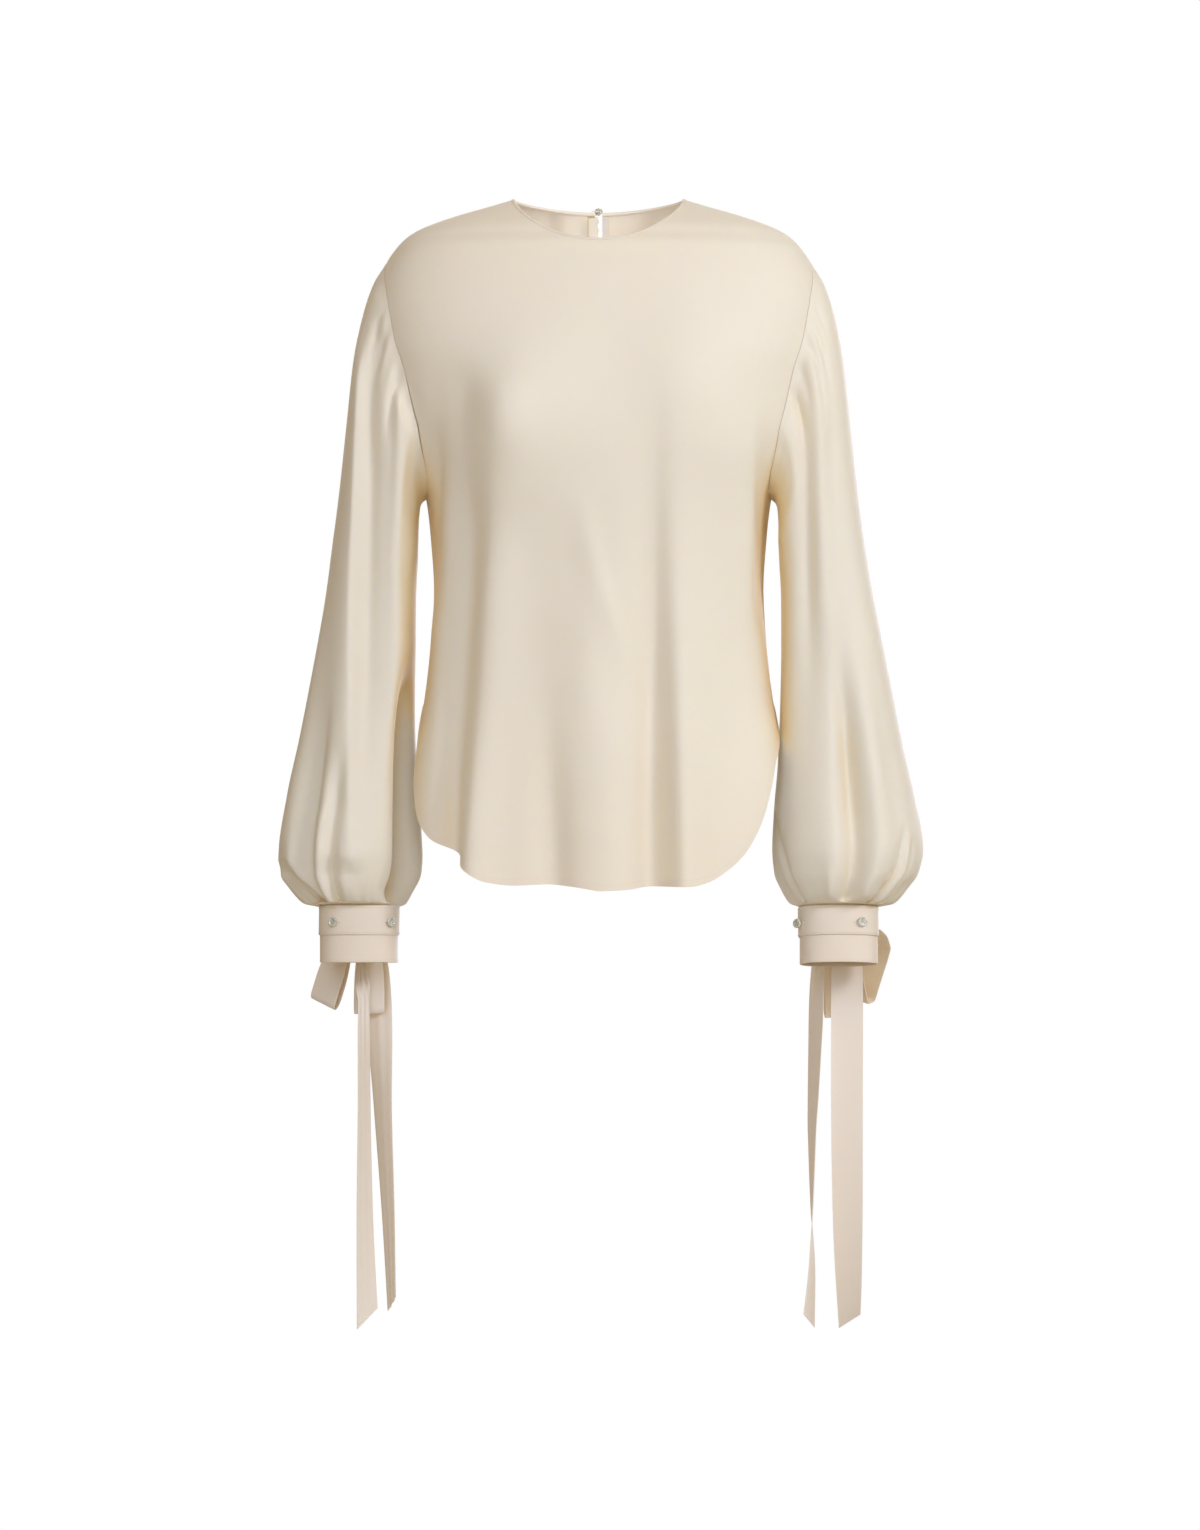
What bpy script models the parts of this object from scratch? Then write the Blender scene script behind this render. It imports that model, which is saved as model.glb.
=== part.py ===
"""A long-sleeved silk blouse in the form that it has when it is worn, with nobody in it.

Lengths are in millimetres and angles in degrees, and become metres and radians when a mesh is made.
X runs to the wearer's left, -Y is the front and +Z is up. The origin lies midway between the shoulder seams,
at their middle height, where the wearer carries the blouse.

Each piece of cloth is a thin closed wall. Its outer points come from a rule that reads a short table, and its
inner points lie one thickness behind them. Pieces that are sewn together stop a seam gap apart.
"""

import math

import bpy
from mathutils import Matrix, Vector

MM = 0.001

# Cloth
CLOTH = 1.0                 # silk with its turned edges
CUFF_CLOTH = 1.6            # two layers of silk with an interfacing
TIE_CLOTH = 1.0             # a turned double strip
SEAM_GAP = 0.3              # left between pieces that are sewn together
SQUARENESS = 0.10           # how far an oval section swells towards a rounded oblong

# Front and back
NECK_HALF_WIDTH = 81.0
NECK_POINT_Z = 22.0
FRONT_NECK_DROP = 47.6
FRONT_NECK_ROUND = 1.35     # power of the cosine along which the front neckline drops
BACK_NECK_DROP = 6.0
BACK_NECK_ROUND = 3.5
NECKLINES = {"front": (FRONT_NECK_DROP, FRONT_NECK_ROUND), "back": (BACK_NECK_DROP, BACK_NECK_ROUND)}
SHOULDER_POINT_Z = -40.0
YOKE_LINE_DROP = 38.0       # how far the row through the shoulder points dips at the middle
YOKE_LINE_ROUND = 1.5
UNDERARM_Z = -268.0
ARMHOLE_PULL = 1.8          # power that keeps the armhole's cut to the outer columns of a panel
NECK_ROWS = 5
ARMHOLE_ROWS = 8
LOWER_ROWS = 12
FRONT_COLUMNS = 32
BACK_COLUMNS = 26

# Neckline
BINDING_HEIGHT = 3.4
BINDING_THICKNESS = 2.2
BINDING_PROUD = 0.6         # how far the binding stands out from the panels
SLIT_ROWS = 7               # the slit ends at this row of the back panel
SLIT_WIDTH = 8.0
SLIT_STRIP_WIDTH = 7.0
NECK_BUTTON_RADIUS = 4.2
NECK_BUTTON_DROP = 1.5      # from the neckline's edge down to its middle
NECK_LOOP_RADIUS = 0.6
NECK_LOOP_REACH = 7.0

# Sleeves, cuffs and ties
SLEEVE_ROWS = 26
SLEEVE_ROW_PULL = 1.8       # power that draws the rows closer together towards the cuff
ARMHOLE_GAP = 0.45          # between the panels' armhole edges and the sleeve, straight out
SLEEVE_FULLER = {"left": 3.5, "right": 0.0}     # how much wider each sleeve hangs below the elbow
SLEEVE_JOIN_SHARE = 0.35    # the share of the sleeve over which the armhole's own shape fades out
GATHERS = 8
GATHER_DEPTH = 4.5
GATHER_START = 0.76
CUFF_X = 229.7
CUFF_TOP_Y = -22.0
CUFF_TOP_Z = -660.4
CUFF_HALF_WIDTH = 37.3
CUFF_HALF_DEPTH = 28.5
CUFF_HEIGHT = 55.0
CUFF_TILT = 8.0             # the wrist points forward by this much
CUFF_COLUMNS = 32
BAND_HEIGHT = 28.0
BAND_TOP_INSET = 0.8
TIE_WIDTH = 31.0
KNOT_SIZE = (23.0, 11.0, 24.0)
BUTTON_RADIUS = 4.5
BUTTON_THICKNESS = 2.4

SILK = ("ivory silk crepe", (0.80, 0.72, 0.62), 0.55)
CUFF_SILK = ("ivory silk cuff", (0.78, 0.69, 0.59), 0.5)
PEARL = ("mother of pearl", (0.72, 0.72, 0.66), 0.2)


def table(columns, *rows):
    """A table with named columns. Its rows are kept with the first column rising."""
    ordered = sorted(rows)
    return {name: [row[i] for row in ordered] for i, name in enumerate(columns.split())}


def read(source, column, at):
    """The column's value at a place along the first column, on a smooth curve that never overshoots a row."""
    keys = next(iter(source.values()))
    values = source[column]
    if at <= keys[0]:
        return values[0]
    if at >= keys[-1]:
        return values[-1]
    i = max(k for k in range(len(keys) - 1) if keys[k] <= at)
    step = keys[i + 1] - keys[i]

    def chord(k):
        return (values[k + 1] - values[k]) / (keys[k + 1] - keys[k])

    def slope(k):
        if k == 0:
            return chord(0)
        if k == len(keys) - 1:
            return chord(k - 1)
        before, after = chord(k - 1), chord(k)
        if before * after <= 0:
            return 0.0
        return 2 * before * after / (before + after)

    t = (at - keys[i]) / step
    return (
        values[i] * (1 + 2 * t) * (1 - t) ** 2
        + values[i + 1] * t * t * (3 - 2 * t)
        + step * (slope(i) * t * (1 - t) ** 2 - slope(i + 1) * t * t * (1 - t))
    )


# Level sections of the body's tube: half widths of the front's and the back's side of it, and the depth of
# each. Above the shoulder points a section runs from ridge to ridge. From there to the underarm the armhole
# cuts it short, and below the side seams' ends the front and the back hang free of each other.
BODY = table(
    "z front_half back_half front_depth back_depth",
    (22, 81, 81, 8, 38),
    (18.5, 96, 96, 17, 50),
    (14, 113, 113, 26, 58),
    (6, 140, 140, 38, 69),
    (-2, 162, 162, 50, 76.5),
    (-10, 178, 178, 60, 82),
    (-18, 189, 189, 67, 86),
    (-28, 198, 198, 77, 90.5),
    (-40, 205.5, 205.5, 83, 94.5),
    (-63, 214, 214, 92, 99),
    (-90, 218, 218, 99, 103),
    (-120, 216, 216, 105, 105),
    (-155, 205, 205, 110, 106),
    (-197, 192, 192, 114, 105),
    (-225, 182, 182, 115, 104),
    (-250, 172, 172, 114, 103),
    (-268, 166.5, 166.5, 113, 102),
    (-306, 162, 162, 110, 100),
    (-355, 159, 159, 107, 98),
    (-403, 161.5, 161.5, 106, 98),
    (-461, 168, 167, 107, 100),
    (-480, 172, 168, 108, 101),
    (-501, 177, 168, 109, 102),
    (-548, 184, 167, 111, 104),
    (-600, 186, 166, 113, 105),
    (-645, 186, 166, 114, 106),
)

# The armhole's edge seen from the side.
ARMHOLE = table(
    "z front_y back_y",
    (-40, 0, 0),
    (-46, 17, 18),
    (-63, 33, 36),
    (-84, 45, 50),
    (-113, 53, 60),
    (-145, 58, 66),
    (-197, 58, 66),
    (-222, 51, 58),
    (-245, 37, 42),
    (-260, 20, 22),
    (-268, 0, 0),
)

# The hem's height from the middle of a panel (share 0) to its side seam (share 1). The front's two sides hang
# differently; the back repeats its left side a little higher.
HEM = table(
    "share left right",
    (0.00, -642, -642),
    (0.08, -641, -638),
    (0.16, -638, -636),
    (0.26, -638, -637),
    (0.34, -634, -634),
    (0.42, -624, -625),
    (0.50, -609, -607),
    (0.56, -591, -598),
    (0.62, -569, -587),
    (0.68, -543, -580),
    (0.74, -522, -571),
    (0.80, -511, -547),
    (0.86, -500, -500),
    (0.93, -486, -483),
    (1.00, -470, -470),
)
BACK_HEM_RISE = 6.0

# Long soft folds that run down a panel: where the crest or trough starts and ends, how wide it is at each
# end, and how far it stands out, or in where that is below zero.
FRONT_FOLDS = table(
    "top_x top_z bottom_x bottom_z top_width bottom_width out",
    (-120, -170, -133, -640, 22, 17, -13),
    (-100, -230, -110, -640, 18, 15, 8),
    (-62, -250, -72, -640, 16, 22, -5),
    (-12, -300, -30, -640, 20, 26, 5),
    (2, -400, 22, -640, 14, 24, -5),
    (36, -160, 48, -640, 24, 16, -9),
    (62, -330, 79, -640, 16, 15, 9),
    (108, -260, 112, -640, 24, 22, -5),
    (146, -300, 150, -620, 22, 18, 5),
)
BACK_FOLDS = table(
    "top_x top_z bottom_x bottom_z top_width bottom_width out",
    (-128, -190, -118, -640, 20, 18, -9),
    (-92, -160, -84, -640, 20, 20, 6),
    (-48, -240, -52, -640, 18, 22, -8),
    (-6, -180, -12, -640, 24, 24, 7),
    (38, -280, 30, -640, 18, 20, -7),
    (74, -200, 70, -640, 18, 22, 7),
    (112, -150, 106, -640, 22, 18, -10),
    (140, -240, 142, -600, 20, 18, 5),
)

# Slanting sections of a sleeve from the armhole (along 0) to the cuff (along 1): the outermost and innermost
# points, the middle and half depth from front to back, and how far the front edge is raised.
SLEEVE = table(
    "along outer_x outer_z inner_x inner_z middle_y half_depth front_rise",
    (0.000, 205.5, -40, 166.5, -268, 4, 62, 0),
    (0.030, 216.5, -57, 171.2, -272, 4, 62, 0),
    (0.070, 226.5, -85, 173.4, -279, 4.5, 61.5, 0),
    (0.140, 236, -131, 174, -294, 6, 61, 0),
    (0.240, 243.5, -197, 174.8, -322, 8, 60, 0),
    (0.350, 251.5, -268, 176.8, -362, 10, 60, 0),
    (0.470, 262.5, -345, 177.3, -412, 12, 61, 0),
    (0.580, 274.5, -416, 176.5, -464, 12, 63, 0),
    (0.700, 288.5, -495, 174, -524, 10, 66, 0),
    (0.790, 301, -553, 170, -570, 5, 69, 1),
    (0.865, 308.5, -603, 168.5, -606, -3, 71, 2),
    (0.910, 305.5, -627, 171, -628, -8, 68, 3),
    (0.945, 297.5, -642.5, 175.5, -643, -13, 60, 4),
    (0.978, 284, -657.5, 183.5, -657.2, -18, 46, 4),
    (1.000, 267.0, -660, 192.4, -660, -22, 28.2, 4),
)

# Long folds of a sleeve: the angle round it (0 outermost, 90 front, 180 towards the body), where they start
# and end along it, the width in degrees and how far they stand out.
SLEEVE_FOLDS = table(
    "angle start end width out",
    (22, 0.03, 0.80, 13, 4),
    (45, 0.02, 0.85, 12, -6),
    (68, 0.04, 0.90, 12, 4),
    (100, 0.10, 0.95, 15, -4),
    (128, 0.30, 0.95, 14, 4),
    (215, 0.10, 0.90, 16, -5),
    (250, 0.05, 0.90, 16, 4),
    (285, 0.02, 0.90, 14, -6),
    (320, 0.05, 0.85, 14, 4),
)

# Buttons on a tie band: the angle from the band's front, positive towards the outer side.
CUFF_BUTTONS = {"right": (41, -49), "left": (37, -84)}

# Tie ends that hang from a knot: the middle line of a strip, the angle by which it is turned from facing the
# front, and its width, which is bunched up at the knot.
TIE_ENDS = {
    "tie_end_outer_right": table(
        "z x y turn width",
        (-693.5, -229, 6.5, 35, 12),
        (-722, -228.5, 7, 35, 13),
        (-766, -227, 6, 58, 15),
        (-830, -226.8, 3, 73, 31),
        (-940, -226.3, 3, 65, 31),
        (-1067.5, -223.7, 4, 54, 31),
    ),
    "tie_end_inner_right": table(
        "z x y turn width",
        (-686, -223, 19, 8, 12),
        (-722, -215, 30, 12, 22),
        (-766, -213.5, 33, 20, 26),
        (-855, -210.2, 33, 54, 31),
        (-965, -204.5, 31, 66, 31),
        (-1057, -201.1, 30, 74.5, 31),
    ),
    "tie_end_outer_left": table(
        "z x y turn width",
        (-693.5, 233, 7, 0, 15),
        (-722, 240, 8, 0, 30),
        (-760, 240.2, 8, 3, 31),
        (-840, 240, 8, 10, 31),
        (-960, 240.8, 8, 26, 31),
        (-1070.5, 243, 9, 52, 31),
    ),
    "tie_end_inner_left": table(
        "z x y turn width",
        (-693.5, 221, 9, 50, 9),
        (-722, 212, 10, 60, 22),
        (-780, 210, 10, 68, 31),
        (-842, 207.8, 10, 74, 31),
        (-880, 206.5, 10, 79, 31),
        (-950, 206.3, 10, 89, 31),
        (-1004, 206.6, 10, 102, 31),
        (-1070.5, 203.8, 10, 113, 31),
    ),
}
TIE_POINT_DROP = 17.0       # one edge of a tie end is cut this much longer than the other
TIE_END_ROWS = 18

# Loops of the bows. Each is a strip that leaves the knot, bends round and comes back to it. Its shape gives
# how far down its own axis it has come, how far off that axis it stands and the share of its full width. The
# axis leans outward and backward from straight down and starts outward of the knot's middle, and the strip is
# turned about it from facing the front.
KNOT_X = 231.0
LOOP_POSE = ("side", "shape", "lean", "back", "turn", "start", "length")
BOW_LOOPS = {
    "bow_loop_outer_right": ("right", "hanging", 20, 8, -26, 10.5, 80),
    "bow_loop_inner_right": ("right", "hanging", 0, 8, 8, -8, 85),
    "bow_loop_outer_left": ("left", "open", 16, 24, 66, 4, 81),
    "bow_loop_inner_left": ("left", "hanging", 3, 10, -8, 2, 90),
}
LOOP_SHAPES = {
    "hanging": table(
        "step down off width",
        (0, 0.175, -1.2, 0.40),
        (1, 0.42, -3.5, 0.82),
        (2, 0.70, -4, 0.94),
        (3, 0.93, -3.4, 0.94),
        (4, 1.00, 0.6, 0.94),
        (5, 0.93, 5, 0.94),
        (6, 0.70, 6, 0.90),
        (7, 0.42, 5, 0.75),
        (8, 0.175, 3.2, 0.40),
    ),
    "open": table(
        "step down off width",
        (0, 0.02, 14, 0.55),
        (1, 0.12, 27, 0.8),
        (2, 0.30, 38, 1.0),
        (3, 0.50, 36, 1.0),
        (4, 0.77, 25, 1.0),
        (5, 0.97, 13, 1.0),
        (6, 1.00, 6, 1.0),
        (7, 0.80, 3, 0.8),
        (8, 0.35, 8, 0.45),
    ),
}
LOOP_STEPS = 24


def smoothstep(low, high, value):
    t = min(max((value - low) / (high - low), 0.0), 1.0)
    return t * t * (3 - 2 * t)


def material(finish):
    name, colour, roughness = finish
    found = bpy.data.materials.get(name)
    if found:
        return found
    made = bpy.data.materials.new(name)
    made.use_nodes = True
    shader = made.node_tree.nodes["Principled BSDF"]
    shader.inputs["Base Color"].default_value = (*colour, 1.0)
    shader.inputs["Roughness"].default_value = roughness
    shader.inputs["Metallic"].default_value = 0.0
    return made


def make_object(name, points, faces, finish):
    mesh = bpy.data.meshes.new(name)
    mesh.from_pydata([tuple(Vector(p) * MM) for p in points], [], faces)
    mesh.validate()
    mesh.materials.append(material(finish))
    mesh.shade_smooth()
    mesh.set_sharp_from_angle(angle=math.radians(50))
    made = bpy.data.objects.new(name, mesh)
    bpy.context.scene.collection.objects.link(made)
    return made


def wall(name, outer, normals, faces, thickness, finish):
    """A closed wall between an outer surface and its points moved back by the thickness."""
    count = len(outer)
    inner = [p - n * thickness for p, n in zip(outer, normals)]
    solid = []
    for a, b, c, d in faces:
        if (outer[a] - outer[c]).length <= (outer[b] - outer[d]).length:
            solid += [(a, b, c), (a, c, d)]
        else:
            solid += [(a, b, d), (b, c, d)]
    solid += [tuple(v + count for v in reversed(face)) for face in solid]
    directed = {(f[i], f[(i + 1) % len(f)]) for f in faces for i in range(len(f))}
    for a, b in sorted(directed):
        if (b, a) not in directed:
            solid.append((b, a, a + count, b + count))
    return make_object(name, outer + inner, solid, finish)


def grid_faces(rows, columns, closed):
    """Quads of a grid with rows from top to bottom and columns to the left, seen from outside."""
    faces = []
    for i in range(rows - 1):
        upper, lower = i * columns, (i + 1) * columns
        for j in range(columns if closed else columns - 1):
            k = (j + 1) % columns
            faces.append((upper + j, lower + j, lower + k, upper + k))
    return faces


def oval(angle):
    """Sine and cosine of a rounded oblong."""
    s, c = math.sin(angle), math.cos(angle)
    return s * (1 + SQUARENESS * c * c), c * (1 + SQUARENESS * s * s)


def oval_angle(value):
    """The angle up to a right angle at which the rounded oblong's sine is the value."""
    low, high = 0.0, math.pi / 2
    for _ in range(40):
        middle = (low + high) / 2
        if oval(middle)[0] < value:
            low = middle
        else:
            high = middle
    return (low + high) / 2


# Front and back panels


def fold_push(folds, x, z):
    """How far the folds move the cloth out at a point of a panel."""
    push = 0.0
    for i in range(len(folds["out"])):
        top_z, bottom_z = folds["top_z"][i], folds["bottom_z"][i]
        along = min(max((top_z - z) / (top_z - bottom_z), 0.0), 1.0)
        middle = folds["top_x"][i] + (folds["bottom_x"][i] - folds["top_x"][i]) * along
        width = folds["top_width"][i] + (folds["bottom_width"][i] - folds["top_width"][i]) * along
        push += folds["out"][i] * smoothstep(0, 0.8, along) * math.exp(-(((x - middle) / width) ** 2))
    return push


def body_point(angle, z):
    """A point of the body's tube. Angle 0 is the front's middle, a right angle the wearer's left side."""
    s, c = oval(angle)
    panel = "front" if c >= 0 else "back"
    half = read(BODY, panel + "_half", z)
    depth = read(BODY, panel + "_depth", z)
    x, y = half * s, -depth * c
    out = Vector((depth * math.sin(angle), -half * math.cos(angle), 0)).normalized()
    facing = abs(math.cos(angle)) ** 0.5
    folds = FRONT_FOLDS if c >= 0 else BACK_FOLDS
    return Vector((x, y, z)) + out * fold_push(folds, x, z) * facing


def body_normal(angle, z):
    around = body_point(angle + 0.01, z) - body_point(angle - 0.01, z)
    down = body_point(angle, z - 1.0) - body_point(angle, z)
    return around.cross(-down).normalized()


def neckline(share, panel):
    """Angle and height of the neckline's edge, from the middle of a panel (0) to a shoulder (1 or -1)."""
    turn = share * math.pi / 2
    drop, power = NECKLINES[panel]
    z = NECK_POINT_Z - drop * max(math.cos(turn), 0.0) ** power
    x = NECK_HALF_WIDTH * abs(math.sin(turn))
    angle = oval_angle(x / read(BODY, panel + "_half", z))
    return math.copysign(angle, share), z


def armhole_angle(z, panel):
    """How far round from the middle a panel reaches at the armhole."""
    depth = read(BODY, panel + "_depth", z)
    return math.pi / 2 - oval_angle(read(ARMHOLE, panel + "_y", z) / depth)


def armhole_height(down):
    """Height of the armhole's edge from the shoulder point (0) to the underarm (1)."""
    middle = (SHOULDER_POINT_Z + UNDERARM_Z) / 2
    half = (SHOULDER_POINT_Z - UNDERARM_Z) / 2
    return middle + half * math.cos(math.pi * down)


def hem_height(share, panel):
    if panel == "back":
        return read(HEM, "left", abs(share)) + BACK_HEM_RISE * (1 - abs(share))
    return read(HEM, "left" if share > 0 else "right", abs(share))


def panel_place(share, down, panel):
    """Angle and height on a panel. Down is 1 at the shoulder points, 2 at the underarm and 3 at the hem."""
    level = share * math.pi / 2
    yoke = SHOULDER_POINT_Z - YOKE_LINE_DROP * max(math.cos(level), 0.0) ** YOKE_LINE_ROUND
    if down <= 1:
        neck_angle, neck_z = neckline(share, panel)
        return neck_angle + (level - neck_angle) * down, neck_z + (yoke - neck_z) * down
    if down <= 2:
        edge_z = armhole_height(down - 1)
        fall = (SHOULDER_POINT_Z - edge_z) / (SHOULDER_POINT_Z - UNDERARM_Z)
        cut = (math.pi / 2 - armhole_angle(edge_z, panel)) * abs(share) ** ARMHOLE_PULL
        return level - math.copysign(cut, share), edge_z + (yoke - SHOULDER_POINT_Z) * (1 - fall)
    return level, UNDERARM_Z + (hem_height(share, panel) - UNDERARM_Z) * (down - 2)


def panel_point(share, down, panel):
    """A panel's outer point and the direction out of the cloth there."""
    angle, z = panel_place(share, down, panel)
    if panel == "back":
        angle = math.pi - angle
    point, normal = body_point(angle, z), body_normal(angle, z)
    if abs(share) > 0.999:
        point.y += -SEAM_GAP / 2 if panel == "front" else SEAM_GAP / 2
    return point, normal


def neck_edge(share, panel):
    """Where the cloth starts below the binding, as a share of the way from the neckline to the yoke line."""
    top, _ = panel_point(share, 0.0, panel)
    lower, _ = panel_point(share, 0.2, panel)
    return 0.2 * (BINDING_HEIGHT + SEAM_GAP) / (lower - top).length


def panel_rows(share, panel):
    """The places down a column of a panel."""
    start = neck_edge(share, panel)
    rows = [start + (1 - start) * i / NECK_ROWS for i in range(NECK_ROWS)]
    rows += [1 + i / ARMHOLE_ROWS for i in range(ARMHOLE_ROWS)]
    rows += [2 + i / LOWER_ROWS for i in range(LOWER_ROWS + 1)]
    return rows


def make_front():
    shares = [2 * j / FRONT_COLUMNS - 1 for j in range(FRONT_COLUMNS + 1)]
    columns = []
    for share in shares:
        columns.append([panel_point(share, down, "front") for down in panel_rows(share, "front")])
    rows = len(columns[0])
    ordered = [columns[j][i] for i in range(rows) for j in range(len(shares))]
    faces = grid_faces(rows, len(shares), closed=False)
    wall("front", [p for p, _ in ordered], [n for _, n in ordered], faces, CLOTH, SILK)


def slit_half_width(row):
    """Half the slit's width at a row of the back panel: straight, with a round end."""
    left = max(1 - (row / SLIT_ROWS) ** 4, 0.0)
    return SLIT_WIDTH / 2 * left ** 0.5


def make_back():
    """The back panel, whose middle column is parted from the neckline down to the slit's end."""
    middle = BACK_COLUMNS // 2
    shares = [1 - 2 * j / BACK_COLUMNS for j in range(BACK_COLUMNS + 1)]
    rows = len(panel_rows(0, "back"))
    points, normals, index = [], [], {}
    for j, share in enumerate(shares):
        for i, down in enumerate(panel_rows(share, "back")):
            point, normal = panel_point(share, down, "back")
            parted = j == middle and i < SLIT_ROWS
            for edge in ((1, -1) if parted else (0,)):
                index[i, j, edge] = len(points)
                points.append(point + Vector((edge * slit_half_width(i), 0, 0)))
                normals.append(normal)

    def corner(i, j, edge):
        return index.get((i, j, edge), index.get((i, j, 0)))

    faces = []
    for i in range(rows - 1):
        for j in range(BACK_COLUMNS):
            edge = 1 if j < middle else -1
            around = ((i, j), (i + 1, j), (i + 1, j + 1), (i, j + 1))
            faces.append(tuple(corner(row, column, edge) for row, column in around))
    wall("back", points, normals, faces, CLOTH, SILK)


# Neckline: binding, slit and its button


def make_binding():
    """A narrow binding round the neckline, from one side of the back slit to the other."""
    span = {"front": FRONT_COLUMNS, "back": BACK_COLUMNS}
    stations = [("back", -2 * k / span["back"]) for k in range(0, span["back"] // 2)]
    stations += [("front", 2 * k / span["front"] - 1) for k in range(span["front"] + 1)]
    stations += [("back", 1 - 2 * k / span["back"]) for k in range(1, span["back"] // 2 + 1)]
    levels = (0.0, 0.5, 1.0)
    points, normals = [], []
    for level in levels:
        for k, (panel, share) in enumerate(stations):
            reach = neck_edge(share, panel) * BINDING_HEIGHT / (BINDING_HEIGHT + SEAM_GAP)
            point, normal = panel_point(share, reach * level, panel)
            if k in (0, len(stations) - 1):
                point = point + Vector((math.copysign(SLIT_WIDTH / 2, k - 1), 0, 0))
            points.append(point + normal * BINDING_PROUD)
            normals.append(normal)
    faces = grid_faces(len(levels), len(stations), closed=False)
    wall("neck_binding", points, normals, faces, BINDING_THICKNESS, SILK)


def make_slit_strips():
    """Turned edges inside the back, one down each side of the slit."""
    downs = panel_rows(0, "back")[:SLIT_ROWS]
    for name, side in (("slit_edge_left", 1), ("slit_edge_right", -1)):
        points, normals = [], []
        for i, down in enumerate(downs):
            for across in (0.0, SLIT_STRIP_WIDTH):
                share = side * 0.001
                point, normal = panel_point(share, down, "back")
                behind = point - normal * (CLOTH + SEAM_GAP)
                points.append(behind + Vector((side * (slit_half_width(i) + across), 0, 0)))
                normals.append(normal)
        faces = grid_faces(len(downs), 2, closed=False)
        if side > 0:
            faces = [tuple(reversed(face)) for face in faces]
        wall(name, points, normals, faces, CLOTH, SILK)


def turned(name, profile, place, axis, sides, finish):
    """A round piece from (distance along the axis, radius) pairs; the first and last radius may be 0."""
    turn = axis.to_track_quat("Z", "Y").to_matrix()
    points, faces = [], []
    rings = []
    for along, radius in profile:
        ring = []
        for k in range(sides if radius > 0 else 1):
            a = 2 * math.pi * k / sides
            ring.append(len(points))
            points.append(place + turn @ Vector((radius * math.cos(a), radius * math.sin(a), along)))
        rings.append(ring)
    for low, high in zip(rings, rings[1:]):
        for k in range(sides):
            n = k + 1
            corners = (low[k % len(low)], low[n % len(low)], high[n % len(high)], high[k % len(high)])
            faces.append(tuple(dict.fromkeys(corners)))
    return make_object(name, points, faces, finish)


def tube(name, path, radius, sides, finish):
    """A round cord along a path, closed at both ends."""
    points, faces = [], []
    for i, place in enumerate(path):
        ahead = (path[min(i + 1, len(path) - 1)] - path[max(i - 1, 0)]).normalized()
        across = ahead.cross(Vector((0, 1, 0.2))).normalized()
        up = ahead.cross(across)
        for k in range(sides):
            a = 2 * math.pi * k / sides
            points.append(place + (across * math.cos(a) + up * math.sin(a)) * radius)
    for i in range(len(path) - 1):
        for k in range(sides):
            n = (k + 1) % sides
            faces.append((i * sides + k, i * sides + n, (i + 1) * sides + n, (i + 1) * sides + k))
    last = (len(path) - 1) * sides
    faces.append(tuple(reversed(range(sides))))
    faces.append(tuple(range(last, last + sides)))
    return make_object(name, points, faces, finish)


def make_neck_closure():
    """A small shank button over the top of the slit and the thread loop that goes round it."""
    top, out = panel_point(0.0001, 0.0, "back")
    across = Vector((1, 0, 0))
    down = across.cross(out).normalized()
    if down.z > 0:
        down = -down
    centre = top + down * NECK_BUTTON_DROP
    lift = BINDING_PROUD + SEAM_GAP + NECK_LOOP_RADIUS
    under = lift + NECK_LOOP_RADIUS + SEAM_GAP
    r = NECK_BUTTON_RADIUS
    profile = (
        (-2.0, 0),
        (-2.0, 1.0),
        (under, 1.0),
        (under + 0.3, 0.8 * r),
        (under + 1.2, r),
        (under + 2.0, 0.85 * r),
        (under + 2.5, 0.5 * r),
        (under + 2.6, 0),
    )
    turned("neck_button", profile, centre, out, 14, PEARL)
    round_shank = [math.radians(90 - 180 * k / 8) for k in range(9)]
    path = [across * 2.2 * math.cos(a) + down * 2.2 * math.sin(a) for a in round_shank]
    path = [across * -NECK_LOOP_REACH + path[0]] + path + [across * -NECK_LOOP_REACH + path[-1]]
    tube("neck_loop", [centre + out * lift + step for step in path], NECK_LOOP_RADIUS, 6, SILK)


# Sleeves


def armhole_ring():
    """Points round the left armhole: down its front edge from the shoulder point, then up its back edge."""
    front = [panel_point(1, 1 + k / ARMHOLE_ROWS, "front")[0] for k in range(ARMHOLE_ROWS + 1)]
    back = [panel_point(1, 1 + k / ARMHOLE_ROWS, "back")[0] for k in range(ARMHOLE_ROWS + 1)]
    ring = []
    for edge in (front, back[::-1]):
        for k in range(ARMHOLE_ROWS):
            ring += [edge[k], (edge[k] + edge[k + 1]) / 2]
    return ring


def sleeve_section(side, angle, along):
    """A point of a sleeve's plain tube, on the left. Angle 0 is its outer side, a right angle its front."""
    fuller = SLEEVE_FULLER[side] * smoothstep(0.4, 0.7, along) * (1 - smoothstep(0.86, 0.96, along))
    outer = Vector((read(SLEEVE, "outer_x", along) + fuller, 0, read(SLEEVE, "outer_z", along)))
    inner = Vector((read(SLEEVE, "inner_x", along), 0, read(SLEEVE, "inner_z", along)))
    middle = (outer + inner) / 2 + Vector((0, read(SLEEVE, "middle_y", along), 0))
    forward = Vector((0, -read(SLEEVE, "half_depth", along), read(SLEEVE, "front_rise", along)))
    s, c = oval(angle)
    return middle + (outer - inner) / 2 * c + forward * s


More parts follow.
